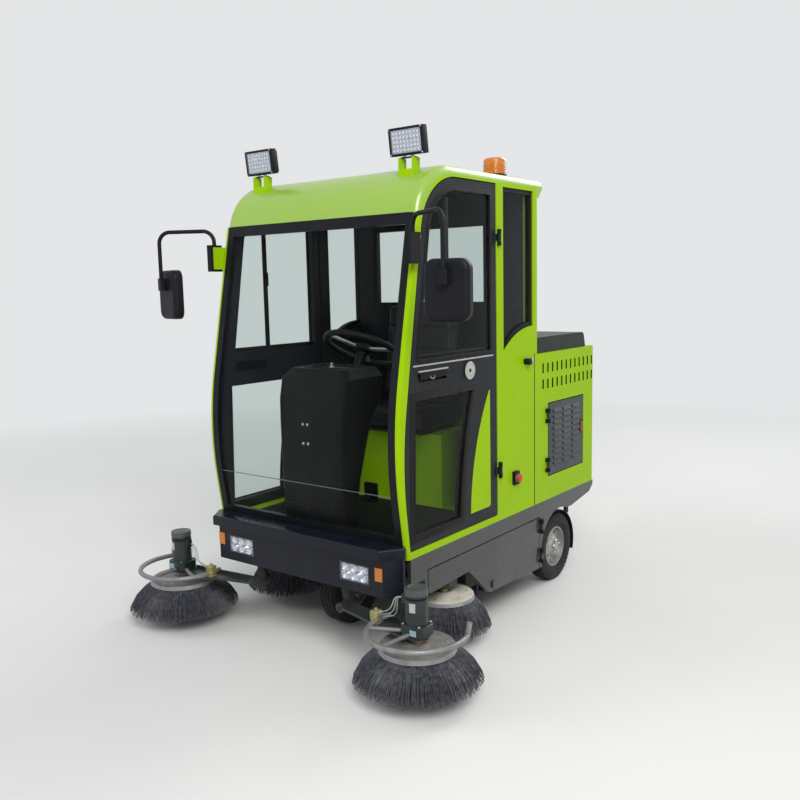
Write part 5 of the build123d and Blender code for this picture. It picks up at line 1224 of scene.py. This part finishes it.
def steering_wheel():
    """Padded rim, three dished spokes and a hub with its horn button."""
    bpy.ops.object.select_all(action="DESELECT")
    bpy.ops.mesh.primitive_torus_add(major_segments=72, minor_segments=16, major_radius=0.180,
                                     minor_radius=0.0145)
    rim = smooth(settle(named("rim")), 60)
    spoke = block("spoke", (0.030, -0.015, -0.0060), (0.172, 0.015, 0.0040), 0.0035)
    spokes = copies(spoke, [turned(angle, "Z") for angle in (0, 120, 240)], "spokes")
    hub = lathe("hub", [(0.030, -0.020), (0.044, -0.012), (0.048, 0.002), (0.044, 0.012), (0.031, 0.0150),
                        (0.0300, 0.0130), (0.0290, 0.0130),
                        (0.0285, 0.0160), (0.022, 0.0185), (0.0002, 0.0195)], sides=40)
    paint(rim, moulded)
    paint(spokes, pale_metal)
    paint(hub, moulded)
    wheel = joined("steering_rim", [rim, spokes, hub])
    wheel.data.transform(Matrix.Translation(WHEEL_MIDDLE) @ Matrix.Rotation(-WHEEL_TILT, 4, "X"))
    return wheel


fit(steering_wheel(), "steering_wheel", "black_plastic", "steering_wheel")

DASH_TOP = 1.1950
PEDESTAL_FRONT = at(41)
GAUGE_MARKS = 11
ROCKERS = 5
ROCKER_PITCH = 0.026
MAT_RIBS = 37
MAT_RIB_PITCH = 13.5


def gauge(name, radius):
    """Round gauge: bezel ring, eleven marks and a pointer."""
    ring = lathe("ring", [(radius, 0), (radius, 0.008), (radius - 0.002, 0.010), (radius - 0.005, 0.010),
                          (radius - 0.006, 0.004)], sides=40)
    mark = block("mark", (radius - 0.013, -0.0006, 0.0038), (radius - 0.0085, 0.0006, 0.0050), 0)
    places = [turned(210 - 24 * n, "Z") for n in range(GAUGE_MARKS)]
    marks = copies(mark, places, "marks")
    pointer = block("pointer", (-0.003, -0.0008, 0.0052), (radius - 0.014, 0.0008, 0.0062), 0.0003, 1)
    pointer.data.transform(turned(150, "Z"))
    paint(ring, moulded)
    paint(marks, pale_metal)
    paint(pointer, stop_red)
    return joined(name, [ring, marks, pointer])


def dash_panel():
    """Gauge, key switch and a row of rocker switches on a plate on top of the pedestal."""
    plate = rounded_plate("plate", (-0.140, at(136), DASH_TOP), (0.118, at(262), DASH_TOP + 0.0030), 2, 0.016)
    paint(plate, moulded)
    dial = gauge("dial", 0.036)
    dial.data.transform(moved(-0.088, at(200), DASH_TOP + 0.0028))
    rocker = block("rocker", (-0.0085, -0.0150, 0), (0.0085, 0.0150, 0.0075), 0.0022)
    choose(rocker, lambda centre, normal: normal.z > 0.9)
    bpy.ops.transform.rotate(value=math.radians(9), orient_axis="X", center_override=(0, 0, 0.0075))
    leave()
    paint(rocker, dash_black)
    rockers = copies(rocker, [moved(-0.022 + ROCKER_PITCH * n, at(218), DASH_TOP + 0.0028)
                              for n in range(ROCKERS)], "rockers")
    dot = lathe("dot", [(0.0018, 0), (0.0018, 0.0006), (0.0012, 0.0009)], sides=12)
    paint(dot, pale_metal)
    dots = copies(dot, [moved(-0.022 + ROCKER_PITCH * n, at(186), DASH_TOP + 0.0029) for n in range(ROCKERS)],
                  "dots")
    key = lathe("key", [(0.0130, 0), (0.0130, 0.004), (0.0115, 0.0055), (0.0050, 0.0055), (0.0045, 0.0035)],
                sides=28)
    grip = block("grip", (-0.0014, -0.008, 0.004), (0.0014, 0.008, 0.022), 0.0010, 1)
    key.data.transform(moved(0.020, at(160), DASH_TOP + 0.0028))
    grip.data.transform(moved(0.020, at(160), DASH_TOP + 0.0028))
    paint(key, bright_steel)
    paint(grip, bright_steel)
    return joined("dash_panel", [plate, dial, rockers, dots, key, grip])


def pedestal_screws():
    """Two pairs of pan-head screws on the pedestal's front."""
    screw = lathe("screw", [(0.0062, 0), (0.0062, 0.0014), (0.0048, 0.0028), (0.0022, 0.0032),
                            (0.0020, 0.0018)], direction=(0, -1, 0), sides=16)
    paint(screw, bright_steel)
    places = [moved(x, PEDESTAL_FRONT, z) for z in (0.955, 0.870) for x in (-0.058, -0.030)]
    return copies(screw, places, "pedestal_screws")


def floor_mat():
    """Ribbed rubber mat on the cab floor."""
    mat = rounded_plate("mat", (-0.440, at(72), 0.5001), (0.440, at(592), 0.5032), 2, 0.030)
    rib = block("rib", (-0.425, -0.0022, 0.5030), (0.425, 0.0022, 0.5048), 0.0006, 1)
    ribs = copies(rib, [moved(0, at(88 + MAT_RIB_PITCH * n), 0) for n in range(MAT_RIBS)], "ribs")
    mat = joined("floor_mat", [mat, ribs])
    paint(mat, rubber)
    return mat


def pedal_pads():
    """Ribbed rubber pads on both pedals."""
    pad = block("pad", (-0.036, -0.0035, -0.046), (0.036, 0.0015, 0.046), 0.0015)
    rib = block("rib", (-0.031, 0.0010, -0.0022), (0.031, 0.0035, 0.0022), 0.0007, 1)
    ribs = copies(rib, [moved(0, 0, 0.0115 * (n - 3)) for n in range(7)], "ribs")
    pads = joined("pads", [pad, ribs])
    pads = copies(pads, [moved(x, at(343.6), 0.605) for x in (0.075, -0.115)], "pedal_pads")
    paint(pads, rubber)
    return pads


fit(dash_panel(), "chassis", "dash_plastic")
fit(pedestal_screws(), "chassis", "bare_steel")
fit(floor_mat(), "chassis", "seal_rubber")
fit(pedal_pads(), "chassis", "seal_rubber")

# Brush motors

MOTORS = {
    "outer": dict(x=0.690, y=at(-155), r=0.044, cap=0.399, top=0.4232, box_low=0.239, box_high=0.268,
                  box=(0.050, 0.046), facing=-58),
    "inner": dict(x=0.470, y=at(345), r=0.042, cap=0.352, top=0.3742, box_low=0.243, box_high=0.270,
                  box=(0.046, 0.042), facing=-58),
}


def curved_plate(name, radius, thick, low, high, facing, half_angle):
    """Thin plate bent round a body of that radius; facing and half_angle in degrees."""
    obj = block(name, (radius, -0.0001, low), (radius + thick, 0, high), 0)
    choose(obj, lambda centre, normal: normal.y < -0.9)
    bpy.ops.mesh.delete(type="FACE")
    leave()
    choose(obj, lambda centre, normal: normal.y > 0.9)
    bpy.ops.mesh.spin(steps=10, angle=math.radians(2 * half_angle), center=(0, 0, 0), axis=(0, 0, 1))
    leave()
    obj.data.transform(turned(facing - half_angle, "Z"))
    return smooth(outward(obj), 35)


def motor_dress(kind):
    """Cap, clamp band, plates, cable gland and gearbox cover with its bolts for a left brush motor."""
    m = MOTORS[kind]
    r, cap, top = m["r"], m["cap"], m["top"]
    lid = lathe("lid", [(r + 0.0008, cap - 0.001), (r + 0.0019, cap), (r + 0.0019, top - 0.006),
                        (r + 0.0008, top - 0.0012), (r - 0.004, top),
                        (0.030, top + 0.0004), (0.028, top - 0.0012), (0.010, top - 0.0012),
                        (0.008, top - 0.0004), (0.0002, top - 0.0004)], sides=56, angle=25)
    band = lathe("band", [(r + 0.0002, cap - 0.017), (r + 0.0012, cap - 0.016), (r + 0.0012, cap - 0.009),
                          (r + 0.0002, cap - 0.008)], sides=56, bored=True)
    plate = curved_plate("plate", r + 0.0001, 0.0005, cap - 0.062, cap - 0.026, m["facing"] + 14, 16)
    half_x, half_y = m["box"]
    cover = rounded_plate("cover", (-half_x - 0.0035, -half_y - 0.0035, m["box_low"] + 0.0015),
                          (half_x + 0.0035, half_y + 0.0035, m["box_high"] + 0.015), 2, 0.017, 1, 0.003)
    tag = block("tag", (0.002, -half_y - 0.0044, m["box_low"] + 0.010),
                (0.032, -half_y - 0.0030, m["box_high"] + 0.004), 0.0003, 1)
    bolt = lathe("bolt", [(0.0052, 0), (0.0052, 0.0036), (0.0040, 0.0048), (0.0002, 0.0050)], sides=6,
                 angle=10)
    corners = [moved(sx * (half_x - 0.0125), sy * (half_y - 0.0090), m["box_high"] + 0.0148)
               for sx in (-1, 1) for sy in (-1, 1)]
    bolts = copies(bolt, corners, "bolts")
    gland = lathe("gland", [(0.0105, 0), (0.0105, 0.006), (0.0085, 0.0075), (0.0085, 0.013), (0.0060, 0.016),
                            (0.0052, 0.016)],
                  (-r - 0.010, 0, cap - 0.028), (-1, 0, -0.15), 20)
    for piece, finish in ((lid, cap_grey), (band, moulded), (plate, plate_pale), (tag, plate_blue),
                          (bolts, bright_steel), (gland, moulded), (cover, cover_green)):
        paint(piece, finish)
    dress = joined(kind + "_motor_dress", [lid, band, plate, tag, bolts, gland, cover])
    dress.data.transform(moved(m["x"], m["y"], 0))
    return dress


cap_grey = surface("motor_cap_grey", (0.085, 0.095, 0.100), (0.065, 0.073, 0.078), 20, (0.34, 0.48), 0.3,
                   grain=(900, 0.1, 0.0003))
plate_pale = surface("bare_metal_plate", (0.50, 0.51, 0.50), (0.44, 0.45, 0.44), 30, (0.32, 0.45), 0.3,
                     grain=(900, 0.08, 0.0002))
cover_green = surface("gearbox_green", (0.012, 0.026, 0.026), (0.009, 0.019, 0.019), 14, (0.28, 0.42),
                      grain=(800, 0.12, 0.0004), specular=0.45)
plate_blue = surface("pale_blue_plate", (0.30, 0.42, 0.50), (0.26, 0.37, 0.44), 30, (0.35, 0.5),
                     grain=(900, 0.08, 0.0002))
for kind in MOTORS:
    fit_pair(motor_dress(kind), f"{kind}_arm_SIDE", "bare_steel")


def wire_block():
    """Brass terminal block on the left outer arm's plate, with three wires to the motor."""
    x, y, z = 0.489, at(-152), 0.2385
    foot = block("foot", (x - 0.020, y - 0.020, z), (x + 0.020, y + 0.020, z + 0.0040), 0.0012)
    body = block("body", (x - 0.0165, y - 0.0165, z + 0.004), (x + 0.0165, y + 0.0165, z + 0.050), 0.0018)
    groove = block("groove", (x - 0.0185, y - 0.0185, z + 0.018), (x + 0.0185, y + 0.0185, z + 0.023), 0.0008,
                   1)
    ridges = copies(groove, [moved(0, 0, 0.0115 * n) for n in range(3)], "ridges")
    nut = lathe("nut", [(0.0075, 0), (0.0075, 0.006), (0.0055, 0.0075), (0.0035, 0.0075), (0.0035, 0.012),
                        (0.0002, 0.0125)], (x, y, z + 0.050), sides=6, angle=10)
    m = MOTORS["outer"]
    entry = (m["x"] - m["r"] - 0.026, m["y"], m["cap"] - 0.030)
    wires = []
    for n in range(3):
        offset = 0.009 * (n - 1)
        line = [(x + 0.012, y + offset, z + 0.046 - 0.012 * n),
                (x + 0.052, y + offset - 0.006, z + 0.058 - 0.012 * n),
                (x + 0.100, y + offset * 2 - 0.010, z + 0.088 - 0.020 * n),
                (entry[0] - 0.026, entry[1] + offset * 0.7, entry[2] + 0.006),
                (entry[0] + 0.004, entry[1] + offset * 0.3, entry[2])]
        wires.append(tube("wire", line, 0.0022, 2))
    for piece in (foot, body, ridges):
        paint(piece, pale_brass)
    paint(nut, bright_steel)
    wires = joined("wires", wires)
    paint(wires, pale_metal)
    return joined("wire_block", [foot, body, ridges, nut, wires])


pale_brass = surface("pale_brass", (0.44, 0.40, 0.17), (0.35, 0.31, 0.13), 40, (0.34, 0.5), 0.55,
                     grain=(900, 0.12, 0.0003))
fit_pair(wire_block(), "outer_arm_SIDE", "bare_steel")

# Rear


def tail_lens():
    """Dark frame ring with a ribbed red lens and a ribbed amber one over the left tail lamp."""
    x, y, low_z = 0.468, 1.0543, 0.5400
    frame_ring = rounded_plate("ring", (x - 0.0420, y - 0.0030, low_z + 0.002),
                               (x + 0.0420, y + 0.0010, low_z + 0.158), 1, 0.006)
    lens_plate = rounded_plate("lens", (x - 0.0375, y, low_z + 0.052),
                               (x + 0.0375, y + 0.0045, low_z + 0.1535), 1, 0.004)
    turn_plate = rounded_plate("turn", (x - 0.0375, y, low_z + 0.0065),
                               (x + 0.0375, y + 0.0045, low_z + 0.0500), 1, 0.004)
    rib = block("rib", (x - 0.0350, y + 0.0042, -0.0010), (x + 0.0350, y + 0.0052, 0.0010), 0.0004, 1)
    turn_rib = twin(rib, "turn_rib", Matrix())
    ribs = copies(rib, [moved(0, 0, low_z + 0.060 + 0.0095 * n) for n in range(10)], "ribs")
    turn_ribs = copies(turn_rib, [moved(0, 0, low_z + 0.0140 + 0.0095 * n) for n in range(4)], "turn_ribs")
    for piece, finish in ((frame_ring, moulded), (lens_plate, red_lens), (turn_plate, amber_lens),
                          (ribs, red_lens), (turn_ribs, amber_lens)):
        paint(piece, finish)
    return joined("tail_lens", [frame_ring, lens_plate, turn_plate, ribs, turn_ribs])


fit_pair(tail_lens(), "chassis", "red_lens")

# Camera, lights and floor

CAMERA_PLACE = Vector((2.54235, -3.28980, 1.54740))
CAMERA_YAW = 0.652725104
CAMERA_PITCH = 0.132637513
CAMERA_ROLL = -0.0216435614
FOCAL_PIXELS = 856.725
PICTURE_WIDTH = 800
SENSOR = 36.0
CENTRE_SHIFT = -0.0025


def look_axes():
    """The camera's right, up and backward directions."""
    forward = Vector((-math.sin(CAMERA_YAW) * math.cos(CAMERA_PITCH),
                      math.cos(CAMERA_YAW) * math.cos(CAMERA_PITCH), -math.sin(CAMERA_PITCH)))
    right = Vector((math.cos(CAMERA_YAW), math.sin(CAMERA_YAW), 0))
    up = right.cross(forward)
    turned_right = right * math.cos(CAMERA_ROLL) + up * math.sin(CAMERA_ROLL)
    turned_up = up * math.cos(CAMERA_ROLL) - right * math.sin(CAMERA_ROLL)
    return turned_right, turned_up, -forward


camera_data = bpy.data.cameras.new("camera")
camera = bpy.data.objects.new("camera", camera_data)
bpy.context.scene.collection.objects.link(camera)
camera.matrix_world = Matrix.Translation(CAMERA_PLACE) @ Matrix(look_axes()).transposed().to_4x4()
camera_data.sensor_width = SENSOR
camera_data.lens = FOCAL_PIXELS * SENSOR / PICTURE_WIDTH
camera_data.shift_x = CENTRE_SHIFT
camera_data.clip_end = 200
bpy.context.scene.camera = camera


def lamp(name, place, target, size, watts, colour=(1, 1, 1)):
    """A soft square lamp."""
    data = bpy.data.lights.new(name, "AREA")
    data.shape = "RECTANGLE"
    data.size, data.size_y = size
    data.energy = watts
    data.color = colour
    obj = bpy.data.objects.new(name, data)
    bpy.context.scene.collection.objects.link(obj)
    obj.location = place
    obj.rotation_euler = (Vector(target) - Vector(place)).to_track_quat("-Z", "Y").to_euler()
    return obj


key = lamp("key", (4.5, -4.0, 5.5), (0, 0, 1), (3.5, 3.5), 400, (1, 0.985, 0.96))
fill = lamp("fill", (-5.5, -4.0, 3.5), (0, 0, 0.9), (4, 4), 170, (0.95, 0.975, 1))
back = lamp("back", (1.0, 6.0, 5.0), (0, 0, 1), (4, 4), 230)
fill.visible_glossy = False

BACKDROP = (0.78, 0.79, 0.80)
STUDIO_LIGHT = 0.46


def seen_rays(tree):
    """1 for the rays that show the background: from the camera, in gloss and through glass."""
    path = tree.nodes.new("ShaderNodeLightPath")
    total = path.outputs["Is Camera Ray"]
    for name in ("Is Glossy Ray", "Is Transmission Ray"):
        node = tree.nodes.new("ShaderNodeMath")
        node.operation = "MAXIMUM"
        tree.links.new(total, node.inputs[0])
        tree.links.new(path.outputs[name], node.inputs[1])
        total = node.outputs[0]
    return total


def mixed_shader(tree, share, first, second, output, socket):
    """Shader between first and second into the output."""
    mix = tree.nodes.new("ShaderNodeMixShader")
    tree.links.new(share, mix.inputs[0])
    tree.links.new(first, mix.inputs[1])
    tree.links.new(second, mix.inputs[2])
    tree.links.new(mix.outputs[0], output.inputs[socket])


world = bpy.data.worlds.new("studio")
bpy.context.scene.world = world
world.use_nodes = True
sky_tree = world.node_tree
sky = sky_tree.nodes["Background"]
sky.inputs["Color"].default_value = (0.86, 0.87, 0.88, 1)
sky.inputs["Strength"].default_value = STUDIO_LIGHT
backdrop = add(sky_tree, "ShaderNodeBackground", Color=(*BACKDROP, 1), Strength=1.0)
mixed_shader(sky_tree, seen_rays(sky_tree), sky.outputs[0], backdrop.outputs[0],
             sky_tree.nodes["World Output"], "Surface")

bpy.ops.object.select_all(action="DESELECT")
bpy.ops.mesh.primitive_circle_add(vertices=96, radius=60, fill_type="NGON", location=(0, 0, -0.0015))
floor = bpy.context.object
floor.name = "floor"
floor_finish = surface("pale_floor", (0.72, 0.72, 0.72), (0.75, 0.75, 0.74), 0.8, (0.7, 0.85),
                       grain=(60, 0.05, 0.0005), specular=0.1)
floor_tree = floor_finish.node_tree
floor_place = floor_tree.nodes.new("ShaderNodeTexCoord")
reach = floor_tree.nodes.new("ShaderNodeVectorMath")
reach.operation = "LENGTH"
floor_tree.links.new(floor_place.outputs["Object"], reach.inputs[0])
far_share = spread(floor_tree, reach.outputs["Value"], 0, 1, 2.2, 7.5)
far_floor = add(floor_tree, "ShaderNodeEmission", Color=(*BACKDROP, 1), Strength=1.0)
far_rays = product(floor_tree, far_share, seen_rays(floor_tree))
mixed_shader(floor_tree, far_rays, floor_tree.nodes["Principled BSDF"].outputs[0], far_floor.outputs[0],
             floor_tree.nodes["Material Output"], "Surface")
paint(floor, floor_finish)
bpy.context.scene.view_settings.view_transform = "Standard"
